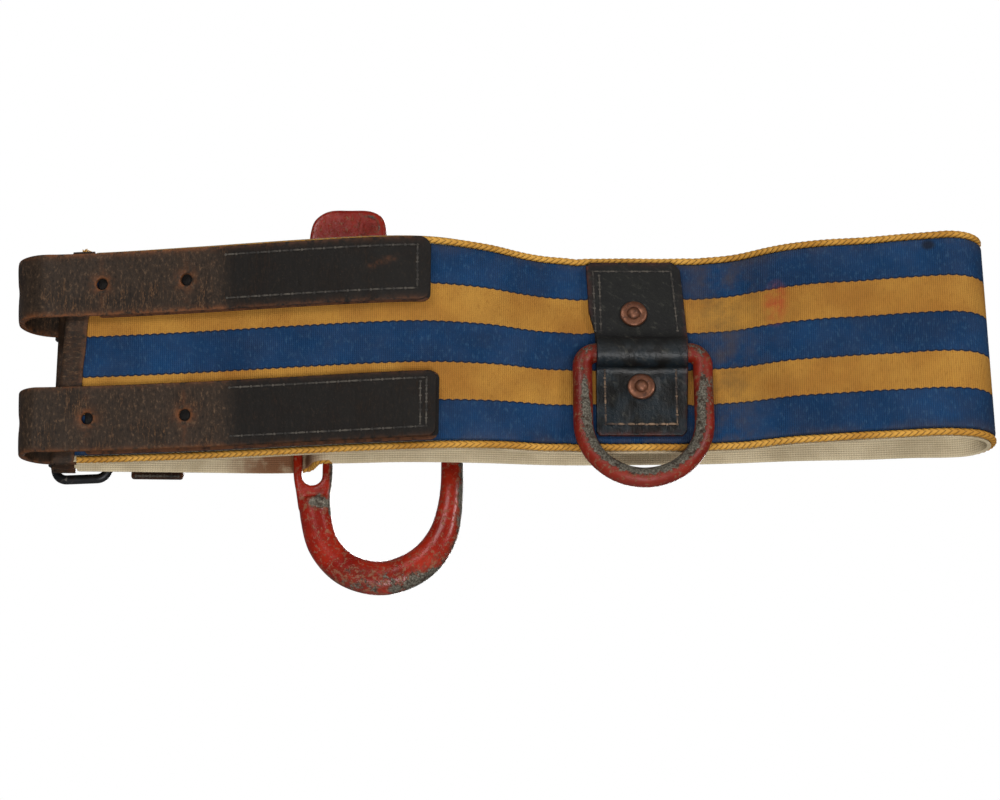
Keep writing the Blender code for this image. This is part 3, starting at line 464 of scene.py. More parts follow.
def webbing_look():
    look = Look("striped_webbing", 0.85, specular=0.12)
    bench = look.place()
    s, w, _ = look.split(bench)
    s_mm = look.times(s, 1000.0)
    w_mm = look.times(w, 1000.0)
    across = look.math("ABSOLUTE", w_mm)
    scallop = look.math("ABSOLUTE", look.math("SINE", look.times(s_mm, math.pi / SCALLOP_MM)))
    inner = look.plus(look.times(scallop, 0.45), STRIPE_IN_MM - 0.2)
    outer = look.plus(look.times(scallop, -0.45), STRIPE_OUT_MM + 0.2)
    past_inner = look.math("SUBTRACT", across, inner)
    past_outer = look.math("SUBTRACT", across, outer)
    gold_share = look.times(look.ramp(past_inner, -0.1, 0.1), look.ramp(past_outer, 0.1, -0.1))
    border = look.math("MINIMUM", look.math("ABSOLUTE", look.plus(past_inner, 0.3)),
                       look.math("ABSOLUTE", look.plus(past_outer, -0.3)))
    line = look.ramp(border, 0.1, 0.5, 0.85, 0.0)

    broad = look.noise(bench, 28.0, 4.0, 0.6)
    fleck = look.noise(look.stretch(bench, (1.0, 0.45, 1.0)), 900.0, 2.0, 0.7)
    blue = look.tones(broad, 0.35, 0.7, (9, 40, 71), (17, 52, 88))
    blue = look.stain(blue, fleck, 0.5, 0.8, 0.4, 56, 88, 114)
    gold = look.tones(broad, 0.3, 0.7, (141, 94, 36), (166, 120, 50))
    gold = look.stain(gold, fleck, 0.5, 0.8, 0.5, 122, 78, 24)
    cloth = look.mix(gold_share, blue, gold)
    cloth = look.over(cloth, line, 14, 22, 34)

    ribs = look.wave(s_mm, 0.86)
    picks = look.wave(w_mm, 0.8)
    weave = look.plus(look.times(ribs, 0.7), look.times(picks, 0.3))
    # Painted shade: the cloth is darkened where the weave's height is low, in the hollows between
    # the threads.
    cloth = look.over(cloth, look.ramp(weave, 0.1, 0.75, 0.2, 0.0), 10, 14, 20)

    soil = look.ramp(look.noise(bench, 90.0, 5.0, 0.65), 0.3, 0.7)
    grime = look.times(look.value("grime"), soil)
    cloth = look.over(cloth, look.times(grime, 0.8), 70, 56, 38)
    red_at = (BELT.s_at_x(0.1155), 0.018, OUTER_FACE)
    red = look.spot(bench, red_at, (0.0075, 0.012, 0.02))
    red = look.times(red, look.ramp(look.noise(bench, 130.0, 5.0, 0.7), 0.32, 0.62))
    cloth = look.over(cloth, look.times(red, 0.7), 146, 54, 32)
    dark_at = (BELT.s_at_x(0.178), 0.0385, OUTER_FACE)
    dark = look.spot(bench, dark_at, (0.004, 0.003, 0.02))
    cloth = look.over(cloth, look.times(dark, 0.8), 20, 20, 24)
    look.colour(cloth)
    look.bump(look.plus(weave, look.times(fleck, 0.6)), 0.00022, 0.8)
    return look.material


def lining_look():
    look = Look("canvas_lining", 0.9, specular=0.15)
    bench = look.place()
    s, w, _ = look.split(bench)
    weave = look.plus(look.times(look.wave(look.times(s, 1000.0), 1.05), 0.5),
                      look.times(look.wave(look.times(w, 1000.0), 0.95), 0.5))
    broad = look.noise(bench, 45.0, 5.0, 0.6)
    cloth = look.tones(broad, 0.3, 0.7, (182, 166, 136), (214, 198, 166))
    # Painted shade: the canvas is darkened where the weave's height is low, in the hollows between
    # the threads.
    cloth = look.over(cloth, look.ramp(weave, 0.05, 0.6, 0.4, 0.0), 140, 126, 98)
    stain = look.times(look.value("stain"), look.ramp(look.noise(bench, 120.0, 4.0), 0.15, 0.5))
    cloth = look.over(cloth, look.times(stain, 0.9), 112, 70, 44)
    look.colour(cloth)
    look.bump(weave, 0.0003, 0.8)
    return look.material


def braid_look():
    look = Look("gold_braid", 0.75, specular=0.2)
    bench = look.place()
    relief = look.split(bench)[2]
    fleck = look.noise(look.solid(), 1500.0, 3.0)
    broad = look.noise(look.solid(), 60.0, 4.0)
    gold = look.tones(broad, 0.3, 0.7, (158, 110, 38), (190, 142, 62))
    gold = look.stain(gold, fleck, 0.5, 0.8, 0.5, 140, 88, 28)
    # Painted shade: where the braid's relief is low, in the hollows of the plait, the gold is
    # darkened towards deep brown.
    look.colour(look.mix(look.ramp(relief, 0.1, 0.6, 0.85, 0.0), gold, tint(66, 42, 14)))
    look.bump(fleck, 0.00015)
    return look.material


def leather_look(name, old, fresh, scuffed, gloss=0.55):
    """Leather: fresh black where the attribute dark is 1, old and creased where it is 0."""
    look = Look(name, gloss, specular=0.13)
    bench = look.place()
    dark = look.value("dark")
    aged = look.ramp(dark, 0.0, 1.0, 1.0, 0.12)
    broad = look.noise(bench, 70.0, 5.0, 0.6)
    grain = look.noise(bench, 1500.0, 4.0, 0.65)
    flecks = look.noise(look.stretch(bench, (1.0, 0.55, 1.0)), 760.0, 5.0, 0.75)
    folds = look.noise(look.stretch(bench, (330.0, 42.0, 100.0)), 1.0, 5.0, 0.65)
    ridge = look.math("ABSOLUTE", look.plus(folds, -0.5))
    creases = look.times(look.ramp(ridge, 0.0, 0.018, 1.0, 0.0), look.ramp(broad, 0.46, 0.66))
    hide = look.mix(dark, old, fresh)
    hide = look.stain(hide, broad, 0.4, 0.75, 0.55, 22, 17, 14)
    hide = look.mix(look.times(look.ramp(flecks, 0.52, 0.7), look.times(aged, 0.6)), hide, scuffed)
    hide = look.stain(hide, grain, 0.6, 0.78, 0.3, 84, 76, 66)
    hide = look.stain(hide, flecks, 0.47, 0.34, 0.7, 15, 12, 10)
    hide = look.over(hide, look.times(creases, look.times(aged, 0.62)), 116, 84, 58)
    worn = look.times(look.value("wear"), look.ramp(look.noise(bench, 420.0, 4.0, 0.6), 0.32, 0.6))
    hide = look.over(hide, worn, 100, 60, 34)
    look.colour(hide)
    look.rough(look.ramp(broad, 0.3, 0.7, gloss - 0.08, gloss + 0.14))
    relief = look.plus(look.times(folds, 0.9), look.times(grain, 0.3))
    relief = look.plus(relief, look.times(flecks, 0.3))
    look.bump(look.math("SUBTRACT", relief, look.times(creases, 0.25)), 0.0005, 0.7)
    return look.material


def paint_look(name, chip_scale, gloss, low, high, rust=0.5, speckle=0.6):
    """Red paint over steel; the attribute chip says where it has worn away."""
    look = Look(name, gloss, specular=0.24)
    here = look.solid()
    chip = look.times(look.value("chip"), 0.75)
    broad = look.noise(here, 55.0, 4.0, 0.6)
    fine = look.noise(here, 1400.0, 3.0, 0.6)
    ragged = look.plus(look.times(look.noise(here, chip_scale, 7.0, 0.75), 0.62),
                       look.times(look.noise(here, 900.0, 5.0, 0.75), 0.24))
    pocks = look.noise(here, 520.0, 6.0, 0.78)
    bare = look.ramp(look.plus(ragged, chip), 0.69, 0.73)
    fringe = look.ramp(look.plus(ragged, chip), 0.58, 0.69)
    paint = look.mix(look.ramp(broad, 0.3, 0.7), low, high)
    paint = look.stain(paint, fine, 0.5, 0.8, 0.45, 74, 14, 8)
    paint = look.over(paint, look.times(fringe, rust), 78, 36, 22)
    spots = look.ramp(look.plus(pocks, look.times(chip, 0.25)), 0.57, 0.63)
    paint = look.over(paint, look.times(spots, speckle), 118, 86, 60)
    steel = look.tones(fine, 0.35, 0.7, (62, 58, 50), (122, 116, 104))
    steel = look.mix(look.ramp(look.noise(here, 380.0, 4.0), 0.5, 0.66, 0.0, 0.75), steel,
                     tint(46, 30, 22))
    look.colour(look.mix(bare, paint, steel))
    look.metal(look.times(bare, 0.6))
    look.rough(look.plus(look.ramp(broad, 0.2, 0.8, gloss - 0.06, gloss + 0.1),
                         look.plus(look.times(bare, 0.2), look.times(spots, 0.15))))
    height = look.plus(look.times(bare, -0.5), look.times(look.noise(here, 240.0, 4.0), 0.5))
    look.bump(look.plus(height, look.times(spots, -0.3)), 0.0004, 0.6)
    return look.material


def black_steel_look():
    look = Look("blackened_steel", 0.42, 0.7)
    here = look.solid()
    ragged = look.noise(here, 240.0, 6.0, 0.7)
    worn = look.ramp(ragged, 0.58, 0.68)
    steel = look.mix(worn, tint(30, 30, 32), tint(104, 98, 90))
    look.colour(look.mix(look.ramp(look.noise(here, 90.0, 4.0), 0.55, 0.7, 0.0, 0.6), steel,
                         tint(60, 38, 26)))
    look.rough(look.ramp(ragged, 0.3, 0.7, 0.36, 0.6))
    look.bump(ragged, 0.0002, 0.5)
    return look.material


def copper_look():
    look = Look("tarnished_copper", 0.45, 0.6)
    here = look.solid()
    ragged = look.noise(here, 500.0, 5.0, 0.65)
    broad = look.noise(here, 170.0, 3.0)
    metal = look.tones(broad, 0.35, 0.65, (82, 46, 27), (118, 76, 54))
    look.colour(look.stain(metal, ragged, 0.48, 0.66, 0.8, 58, 36, 26))
    look.rough(look.ramp(ragged, 0.3, 0.7, 0.34, 0.6))
    look.bump(ragged, 0.00025, 0.5)
    return look.material


def spring_look():
    look = Look("spring_wire", 0.35, 1.0)
    ragged = look.noise(look.solid(), 900.0, 4.0)
    look.colour(look.tones(ragged, 0.45, 0.65, (140, 140, 138), (92, 80, 70)))
    look.rough(look.ramp(ragged, 0.3, 0.7, 0.28, 0.5))
    look.bump(ragged, 0.0001, 0.4)
    return look.material


def thread_look(name, pale, deep):
    look = Look(name, 0.8)
    here = look.solid()
    fibre = look.noise(here, 2200.0, 3.0, 0.6)
    broad = look.noise(here, 220.0, 3.0)
    yarn = look.mix(look.ramp(broad, 0.38, 0.62), deep, pale)
    look.colour(look.mix(look.ramp(fibre, 0.45, 0.75, 0.0, 0.6), yarn, deep))
    look.bump(fibre, 0.0002)
    return look.material


def hole_shade_look():
    """Painted shade: the dark of a needle hole, laid on a shallow pit."""
    look = Look("stitch_hole_shade", 0.9)
    grain = look.noise(look.solid(), 1500.0, 2.0)
    look.colour(look.mix(grain, tint(4, 3, 3), tint(22, 16, 13)))
    look.bump(grain, 0.0001)
    return look.material


# ---------------------------------------------------------------- meshes
def link_piece(name, mesh, looks, body, nodes=(), smooth=35.0):
    """A mesh as a finished piece: looks, body, material slot and the nodes it stands for."""
    mesh.name = name
    mesh.shade_smooth()
    mesh.set_sharp_from_angle(angle=math.radians(smooth))
    mesh.materials.clear()
    for material in looks:
        mesh.materials.append(material)
    piece = add_item(name, mesh)
    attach(piece, body)
    if nodes:
        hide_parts(*nodes)


def add_item(name, data):
    item = bpy.data.objects.new(name, data)
    bpy.context.scene.collection.objects.link(item)
    return item


def points_of(mesh):
    flat = np.empty(len(mesh.vertices) * 3)
    mesh.vertices.foreach_get("co", flat)
    return flat.reshape(-1, 3)


def move_points(mesh, points):
    mesh.vertices.foreach_set("co", np.asarray(points, float).ravel())
    mesh.update()


def keep(mesh, **fields):
    """Values, or rows of three, kept on a mesh's points by name."""
    for name, values in fields.items():
        values = np.asarray(values, float)
        if values.ndim == 2:
            kept = mesh.attributes.new(name, 'FLOAT_VECTOR', 'POINT')
            kept.data.foreach_set("vector", values.ravel())
        else:
            kept = mesh.attributes.new(name, 'FLOAT', 'POINT')
            kept.data.foreach_set("value", np.full(len(mesh.vertices), values))


def tidy_normals(mesh):
    work = bmesh.new()
    work.from_mesh(mesh)
    bmesh.ops.remove_doubles(work, verts=work.verts, dist=1e-7)
    bmesh.ops.recalc_face_normals(work, faces=work.faces)
    if work.calc_volume(signed=True) < 0:
        bmesh.ops.reverse_faces(work, faces=work.faces)
    work.to_mesh(mesh)
    work.free()
    return mesh


def loft(rings, cyclic=False):
    """A skin over rings of points, (count, around, 3); capped unless it closes on itself."""
    rings = np.asarray(rings, float)
    count, around = rings.shape[:2]
    faces = []
    last = count if cyclic else count - 1
    for i in range(last):
        here = i * around
        after = ((i + 1) % count) * around
        for j in range(around):
            k = (j + 1) % around
            faces.append((here + j, here + k, after + k, after + j))
    if not cyclic:
        faces.append(tuple(range(around))[::-1])
        faces.append(tuple((count - 1) * around + j for j in range(around)))
    mesh = bpy.data.meshes.new("loft")
    mesh.from_pydata(rings.reshape(-1, 3).tolist(), [], faces)
    mesh.update()
    return mesh


def tube_rings(route, radii, around=16, cyclic=False, reference=(0, 1, 0)):
    """Round rings across a route, with one radius per point or an (n, around) table."""
    route = np.asarray(route, float)
    if cyclic:
        tangent = np.roll(route, -1, axis=0) - np.roll(route, 1, axis=0)
    else:
        tangent = np.gradient(route, axis=0)
    tangent /= np.linalg.norm(tangent, axis=1)[:, None]
    side = np.cross(tangent, np.asarray(reference, float))
    side /= np.linalg.norm(side, axis=1)[:, None]
    top = np.cross(side, tangent)
    angles = np.linspace(0, 2 * math.pi, around, endpoint=False)
    radii = np.asarray(radii, float)
    if radii.ndim == 1:
        radii = np.repeat(radii[:, None], around, axis=1)
    ring = (side[:, None, :] * np.cos(angles)[None, :, None]
            + top[:, None, :] * np.sin(angles)[None, :, None])
    return route[:, None, :] + ring * radii[:, :, None]


def turned(profile, steps=48):
    """A turned mesh from (radius, height) points."""
    rings = []
    for angle in np.linspace(0, 2 * math.pi, steps, endpoint=False):
        rings.append([(r * math.cos(angle), r * math.sin(angle), z) for r, z in profile])
    return tidy_normals(loft(rings, cyclic=True))


def plate(outlines, low, high, bevel, step, axes=(0, 1)):
    """A flat plate with rounded edges from closed outlines, cut finely both ways."""
    curve = bpy.data.curves.new("outline", 'CURVE')
    curve.dimensions = '2D'
    curve.fill_mode = 'BOTH'
    for outline in outlines:
        spline = curve.splines.new('POLY')
        spline.points.add(len(outline) - 1)
        for point, (a, b) in zip(spline.points, outline):
            point.co = (a, b, 0.0, 1.0)
        spline.use_cyclic_u = True
    curve.extrude = (high - low) / 2 - bevel
    curve.bevel_depth = bevel
    curve.bevel_resolution = 2
    curve.offset = -bevel
    item = add_item("bench_curve", curve)
    depsgraph = bpy.context.evaluated_depsgraph_get()
    mesh = bpy.data.meshes.new_from_object(item.evaluated_get(depsgraph))
    bpy.data.objects.remove(item)
    mesh.transform(Matrix.Translation((0, 0, (low + high) / 2)))
    return slice_up(tidy_normals(mesh), step, axes)


def slice_up(mesh, step, axes=(0, 1)):
    """Cut a mesh across its axes at even steps, so that it bends smoothly."""
    work = bmesh.new()
    work.from_mesh(mesh)
    for axis in axes:
        values = [v.co[axis] for v in work.verts]
        low, high = min(values), max(values)
        normal = [0.0, 0.0, 0.0]
        normal[axis] = 1.0
        for mark in np.arange(low + step / 2, high, step):
            origin = [0.0, 0.0, 0.0]
            origin[axis] = float(mark)
            bmesh.ops.bisect_plane(work, geom=work.verts[:] + work.edges[:] + work.faces[:],
                                   dist=1e-7, plane_co=origin, plane_no=normal)
    bmesh.ops.triangulate(work, faces=work.faces)
    work.to_mesh(mesh)
    work.free()
    return mesh


def join_meshes(meshes):
    """Several meshes as one, each keeping its own material index."""
    work = bmesh.new()
    for mesh in meshes:
        work.from_mesh(mesh)
    result = bpy.data.meshes.new("joined")
    work.to_mesh(result)
    work.free()
    return result


def bent_loft(bend, rings):
    """A skin over rings of bench points, bent into place."""
    return loft(bend(rings.reshape(-1, 3)).reshape(rings.shape))


def table(s, w, h):
    """Bench points from three arrays that broadcast to one table."""
    return np.stack(np.broadcast_arrays(s, w, h), -1).astype(float)


def bell(values, centre, width):
    """1 at the centre, falling away smoothly over the width."""
    return np.exp(-((values - centre) / width) ** 2)


def near(gap, reach):
    """1 at no gap, falling off over the reach."""
    return np.exp(-np.clip(gap, 0, 1) / reach)


def step_up(values, start, soft):
    """0 before the start and 1 after it, over a soft length."""
    return 1.0 / (1.0 + np.exp((start - values) / soft))


def inside(values, low, high):
    """How far values are from the nearer of two limits."""
    return np.minimum(values - low, high - values)


def rough_field(points, scale, seed):
    """Smooth noise at each point, about -1 to 1."""
    shift = Vector((seed, seed * 0.7, seed * 1.3))
    return np.array([noise.noise(Vector(p) * scale + shift) for p in points])


# ---------------------------------------------------------------- belt body
def settle(s, w):
    """How far the belt's layers dip inwards where nothing holds them flat."""
    dip = 0.9 * bell(s, TAB_S - 25.5 * MM, 3.2 * MM) + 0.5 * bell(s, TAB_S + 25.0 * MM, 3.5 * MM)
    dip += 0.175 + 0.175 * np.sin(s * 210.0 + 2.0 * np.sin(w * 60.0) + 1.0)
    free = step_up(s, BELT.s_at_x(-20 * MM), 4 * MM)
    front = step_up(-s, -BELT.s_at_x(172 * MM), 4 * MM)
    return -dip * MM * free * front


def strip_section(half, low, high, spacing):
    """Closed outline of a flat strip's cross-section, with round edges."""
    middle = (low + high) / 2
    radius = (high - low) / 2
    flat = half - radius
    run = np.linspace(-flat, flat, int(2 * flat / spacing) + 1)
    turn = np.radians([60, 30, 0, -30, -60])
    edge = flat + radius * np.cos(turn)
    rise = middle + radius * np.sin(turn)
    w = np.concatenate([run, edge, run[::-1], -edge])
    h = np.concatenate([np.full(len(run), high), rise, np.full(len(run), low), rise[::-1]])
    return w, h


def hem(rows):
    """Turn the lining's edges outwards under the cords, between the two bindings."""
    inside = (rows[:, 0] > FRONT_END + 13 * MM) & (rows[:, 0] < BACK_END - 9.5 * MM)
    inside &= np.abs(rows[:, 0] - SLOT_S) > 12 * MM
    edge = np.clip((np.abs(rows[:, 1]) - LINING_HALF + 1.6 * MM) / (1.6 * MM), 0, 1) * inside
    rows[:, 1] += np.sign(rows[:, 1]) * edge * (HEM_HALF - LINING_HALF)
    outer = rows[:, 2] > (LINING_OUTER + LINING_INNER) / 2
    rows[:, 2] += edge ** 3 * (HEM_TOP - LINING_OUTER) * outer


def slanted(stations, w):
    """Stations moved so that the front end is cut on the slant."""
    near = np.clip(1.0 - (stations - FRONT_END) / (40 * MM), 0.0, 1.0)
    return stations + near * FRONT_SLANT * w


def belt_layer(name, half, low, high, look, slot, node, wear):
    w, h = strip_section(half, low, high, 1.5 * MM)
    stations = np.arange(FRONT_END, BACK_END, BELT_STEP)
    bench = table(slanted(stations[:, None], w), w, h)
    rows = bench.reshape(-1, 3)
    if slot == "lining":
        hem(rows)
    moved = bench.copy()
    moved[:, :, 2] += settle(bench[:, :, 0], bench[:, :, 1])
    mesh = bent_loft(BELT.bend, moved)
    keep(mesh, bench=rows, **wear(*rows.T))
    link_piece(name, mesh, [look], "belt", [node], 60.0)


def webbing_wear(s, w, h):
    """Grime along the worn middle right of the front half and by the edges."""
    middle = bell(s, BELT.s_at_x(94 * MM), 15 * MM) * 0.55
    edge = np.clip((np.abs(w) - 37 * MM) / (5 * MM), 0, 1) * 0.35
    return {"grime": np.clip(middle + edge + 0.12, 0, 1)}


def lining_wear(s, w, h):
    """A rust stain on the inner face, where the hook's spine lies."""
    left = BELT.s_at_x(-107 * MM, back=True) + 4 * MM
    right = BELT.s_at_x(-75 * MM, back=True)
    stained = step_up(s, right, 2.2 * MM) * step_up(-s, -left, 3.5 * MM)
    return {"stain": stained * (h < -1.0 * MM) + 0.05}


def braided_cord(name, w, look, node):
    """A cord whose plaited relief shows as chevrons along it."""
    trim = BINDING_DEPTH + 1 * MM
    stations = np.arange(FRONT_END + trim + FRONT_SLANT * w, BACK_END - trim, CORD_STEP)[:, None]
    angles = np.linspace(-math.pi, math.pi, 16, endpoint=False)
    relief = np.abs(np.sin(math.pi * (stations / BRAID_PITCH + 0.55 * np.abs(angles))))
    radius = CORD_RADIUS * (0.78 + 0.26 * relief + 0.03 * np.abs(np.cos(angles / 2)))
    height = CORD_H + settle(stations, w) + radius * np.cos(angles)
    mesh = bent_loft(BELT.bend, table(stations, w + radius * np.sin(angles), height))
    # The relief is kept in the bench attribute, for the braid's relief and for the painted shade
    # in its hollows.
    keep(mesh, bench=table(stations, angles, relief).reshape(-1, 3))
    link_piece(name, mesh, [look], "belt", [node], 60.0)


def end_tuft(look):
    """Loose threads where the top cord's end has frayed."""
    generator = np.random.default_rng(TUFT_SEED)
    root = np.array([FRONT_END + 8.4 * MM, CORD_W + 0.9 * MM, CORD_H + 0.2 * MM])
    radii = 0.3 * MM * np.linspace(1.0, 0.8, STRAND_POINTS)
    strands = []
    for _ in range(TUFT_STRANDS):
        aim = generator.normal(size=3) * np.array([0.8, 0.6, 0.7]) + np.array([-0.2, 0.9, 0.2])
        aim /= np.linalg.norm(aim)
        turn = generator.normal(size=3)
        turn /= np.linalg.norm(turn)
        steps = np.linspace(0, 1, STRAND_POINTS)[:, None]
        reach = generator.uniform(1.6, 2.3) * MM
        loop = np.sin(steps * math.pi * 1.3) * 0.7 * MM
        route = BELT.bend(root + aim * steps * reach + turn * loop)
        strands.append(loft(tube_rings(route, radii, 6, reference=(0.3, 0.2, 0.93))))
    link_piece("cord_tuft", join_meshes(strands), [look], "belt")


def binding(name, end_s, inward, look, node, shear):
    """A soft leather U folded over a cut end of the belt."""
    inner = OUTER_FACE + GAP
    outer = inner + BINDING_THICK
    tip = -inward * (GAP + BINDING_THICK)
    mouth = -inward * GAP
    depth = BINDING_DEPTH * inward
    outside = [(depth, outer - 0.2 * MM), (depth * 0.97, outer)]
    outside += [(depth * t, outer) for t in (0.75, 0.5, 0.25, 0.08)]
    outside += [(tip * 0.6, outer - 0.25 * MM), (tip, outer - 0.9 * MM)]
    lower = [(a, -h) for a, h in reversed(outside)]
    lining = [(depth, -inner), (depth * 0.5, -inner), (mouth, -inner),
              (mouth, inner), (depth * 0.5, inner), (depth, inner)]
    a, h = np.array(outside + lower + lining).T
    w = np.linspace(-BELT_HALF, BELT_HALF, 70)[:, None]
    wave = 0.12 * MM * np.sin(w * 420.0) * (np.abs(a) > 7 * MM)
    bench = table(end_s + a + wave + shear * w, w, h)
    rows = bench.reshape(-1, 3)
    mesh = bent_loft(BELT.bend, bench)
    along = np.abs(rows[:, 0] - end_s - shear * rows[:, 1])
    rim = np.clip((along - 7.2 * MM) / (1.2 * MM), 0, 1)
    keep(mesh, bench=rows[:, [1, 0, 2]], wear=rim * 0.35 + 0.1, dark=0.25)
    link_piece(name, tidy_normals(mesh), [look], "belt", [node], 50.0)


# ---------------------------------------------------------------- stitching
def stitch_row(start, stop, pitch, face, bend, size=1.0, slack=0.0):
    """Sunk threads at an even pitch, with a shallow pit painted dark as the shade of a needle hole
    at each end of each, on a bench face.
    """
    holes = np.linspace(start, stop, max(round(math.dist(start, stop) / pitch), 1) + 1)
    radius = STITCH_RADIUS * size
    steps = np.linspace(0.16, 0.84, 7)
    lift = face + radius * (0.35 - 1.6 * (2 * steps - 1) ** 4 + slack)
    thin = radius * np.array([0.55, 0.85, 1.0, 1.0, 1.0, 0.85, 0.55])
    threads = []
    for here, after in zip(holes[:-1], holes[1:]):
        route = np.column_stack([here + (after - here) * steps[:, None], lift])
        threads.append(bent_loft(bend, tube_rings(route, thin, 8, reference=(0, 0, 1))))
    # Each hole is a pit only 0.1 mm deep; its second material paints in the shade of a deep needle
    # hole.
    wide, deep = np.array([(1.0, 0.0), (0.8, 0.05), (0.4, 0.09), (0.05, 0.1)]).T[:, :, None]
    turn = np.linspace(0, 2 * math.pi, 10, endpoint=False)
    pits = [bent_loft(bend, table(a + 0.62 * MM * wide * np.cos(turn),
                                  b + 0.52 * MM * wide * np.sin(turn), face + deep * MM))
            for a, b in holes]
    pit = join_meshes(pits)
    pit.polygons.foreach_set("material_index", np.ones(len(pit.polygons), dtype=np.int32))
    return join_meshes(threads + [pit])


# ---------------------------------------------------------------- closing straps
def strap_hole_spots(spec):
    middle = sum(spec["w"]) / 2 * MM
    prong = STRAP.s_near(BELT.at(HEEL_S + 6.3 * MM, 0.0, 9.6 * MM))
    front = [front_s(x * MM) for x in spec["holes"]]
    spots = [(prong, middle, 2.3 * MM, 2.45)]
    for s in front + [(prong + front[0]) / 2, prong - 38 * MM]:
        spots.append((s, middle, HOLE_RADIUS, 1.0))
    return spots


def closing_strap(side, look):
    spec = STRAPS[side]
    low, high = [edge * MM for edge in spec["w"]]
    half = STRAP_THICK / 2
    radii = [13 * MM, STRAP_CORNER, STRAP_CORNER, 13 * MM]
    outlines = [rounded_outline(0.0, front_s(spec["end_x"] * MM), low, high, radii)]
    spots = strap_hole_spots(spec)
    for s, w, radius, longer in spots:
        oval = arc_points(0.0, 0.0, radius, 360, 0, 29)[:-1]
        outlines.append([(s + a * longer, w + b) for a, b in oval])
    mesh = plate(outlines, -half, half, 0.55 * MM, 1.5 * MM)
    rows = points_of(mesh)
    dark = np.clip((rows[:, 0] - front_s(BLACK_FROM_X)) / (9 * MM) + 0.5, 0, 1)
    rim = inside(rows[:, 1], low, high)
    wear = near(rim, 0.8 * MM) * np.where(dark > 0.5, 0.35, 0.8)
    relief = 0.14 * MM * rough_field(rows * np.array([1.0, 0.25, 0.0]), 170.0, 3.0)
    relief += 0.2 * MM * np.exp(-rim / (1.2 * MM))
    for s, w, radius, longer in spots:
        gap = np.hypot((rows[:, 0] - s) / longer, rows[:, 1] - w) - radius
        streak = np.exp(-np.abs(rows[:, 0] - s) / (1.0 * MM)) * np.exp(-gap / (9 * MM)) * 0.5
        wear = np.maximum(wear, np.maximum(near(gap, 1.4 * MM), streak))
        relief += 0.35 * MM * near(gap, 1.5 * MM)
    if side == "upper":
        wear = wear + scuff_line(rows, front_s(-48.0 * MM), 33.0 * MM)
    keep(mesh, bench=rows, dark=dark, wear=np.clip(wear, 0, 1))
    sunk = rows.copy()
    sunk[:, 2] -= np.clip(relief, -0.1 * MM, 0.5 * MM) * np.sign(rows[:, 2])
    move_points(mesh, STRAP.bend(sunk))
    link_piece("closing_strap_" + side, mesh, [look], "belt",
               ["strap_" + side], 50.0)


def scuff_line(rows, s, w):
    """A short slanting scratch, as extra wear."""
    run = rows[:, 0] - s
    return 0.5 * np.exp(-(run / (6 * MM)) ** 4) * bell(rows[:, 1] - w, run * 0.35, 0.8 * MM)


def strap_backing(side, look):
    spec = STRAPS[side]
    low = (spec["w"][0] - 1.2) * MM
    high = (spec["w"][1] + 0.2) * MM
    start = BELT.s_at_x(spec["base_x"] * MM)
    stop = BELT.s_at_x((spec["end_x"] + 0.8) * MM)
    radii = [2 * MM, STRAP_CORNER, STRAP_CORNER, 2 * MM]
    bottom = OUTER_FACE + GAP
    outline = rounded_outline(start, stop, low, high, radii)
    mesh = plate([outline], bottom, bottom + BASE_THICK, 0.3 * MM, 2.5 * MM, (0,))
    rows = points_of(mesh)
    edge = inside(rows[:, 1], low, high) < 1.5 * MM
    keep(mesh, bench=rows, dark=np.where(edge, 0.35, 1.0), wear=np.where(edge, 0.55, 0.0))
    move_points(mesh, BELT.bend(rows))
    link_piece("strap_backing_" + side, mesh, [look], "belt",
               ["strap_base_" + side], 50.0)


def strap_stitches(side, looks):
    """Lines of stitches round the sewn part of a strap."""
    spec = STRAPS[side]
    low = spec["w"][0] * MM + 3.9 * MM
    high = spec["w"][1] * MM - 3.2 * MM
    start = front_s(SEWN_X * MM)
    stop = front_s(spec["end_x"] * MM) - 4.2 * MM
    second = stop - 2.6 * MM
    lines = [((start, high), (stop, high), 1.0, 1.0), ((stop, high), (stop, low), 0.8, 1.0),
             ((stop, low), (start, low), 1.0, 1.0)]
    if side == "lower":
        lines.append(((second, high - 1.5 * MM), (second, low + 1 * MM), 0.6, 0.8))
    rows = [stitch_row(a, b, STITCH_PITCH * share, STRAP_THICK / 2 + STITCH_LIFT, STRAP.bend, size)
            for a, b, share, size in lines]
    link_piece("strap_stitching_" + side, join_meshes(rows), looks, "belt")


# ---------------------------------------------------------------- D-ring and its tab
def tab_profile():
    """Side view of the tab, bottom to top: flat, up over the ring's bar, and flat again."""
    flat = OUTER_FACE + TAB_CLEAR + TAB_THICK / 2
    reach = RING_BAR + GAP + TAB_THICK / 2
    line = [(TAB_BOTTOM_W, flat), (RING_W - 20 * MM, flat), (RING_W - 9.5 * MM, flat),
            (RING_W - 7.0 * MM, flat + 0.9 * MM)]
    line += arc_points(RING_W, RING_H, reach, 188, -8, 11)
    line += [(RING_W + 7.0 * MM, flat + 0.9 * MM), (RING_W + 9.5 * MM, flat),
             (RING_W + 20 * MM, flat), (TAB_TOP_W, flat)]
    return Profile(smooth_line(line, 6))


TAB = tab_profile()
TAB_LENGTH = float(TAB.length[-1])
TAB_SCALE = TAB_LENGTH / (TAB_PLAN * MM)


def tab_bend(rows):
    rows = np.asarray(rows, float)
    w, h = TAB.offset(rows[:, 1], rows[:, 2])
    return BELT.bend(np.stack([TAB_S + rows[:, 0], w, h], -1))


def tab_length(w):
    return float(np.interp(w, TAB.points[:, 0], TAB.length))


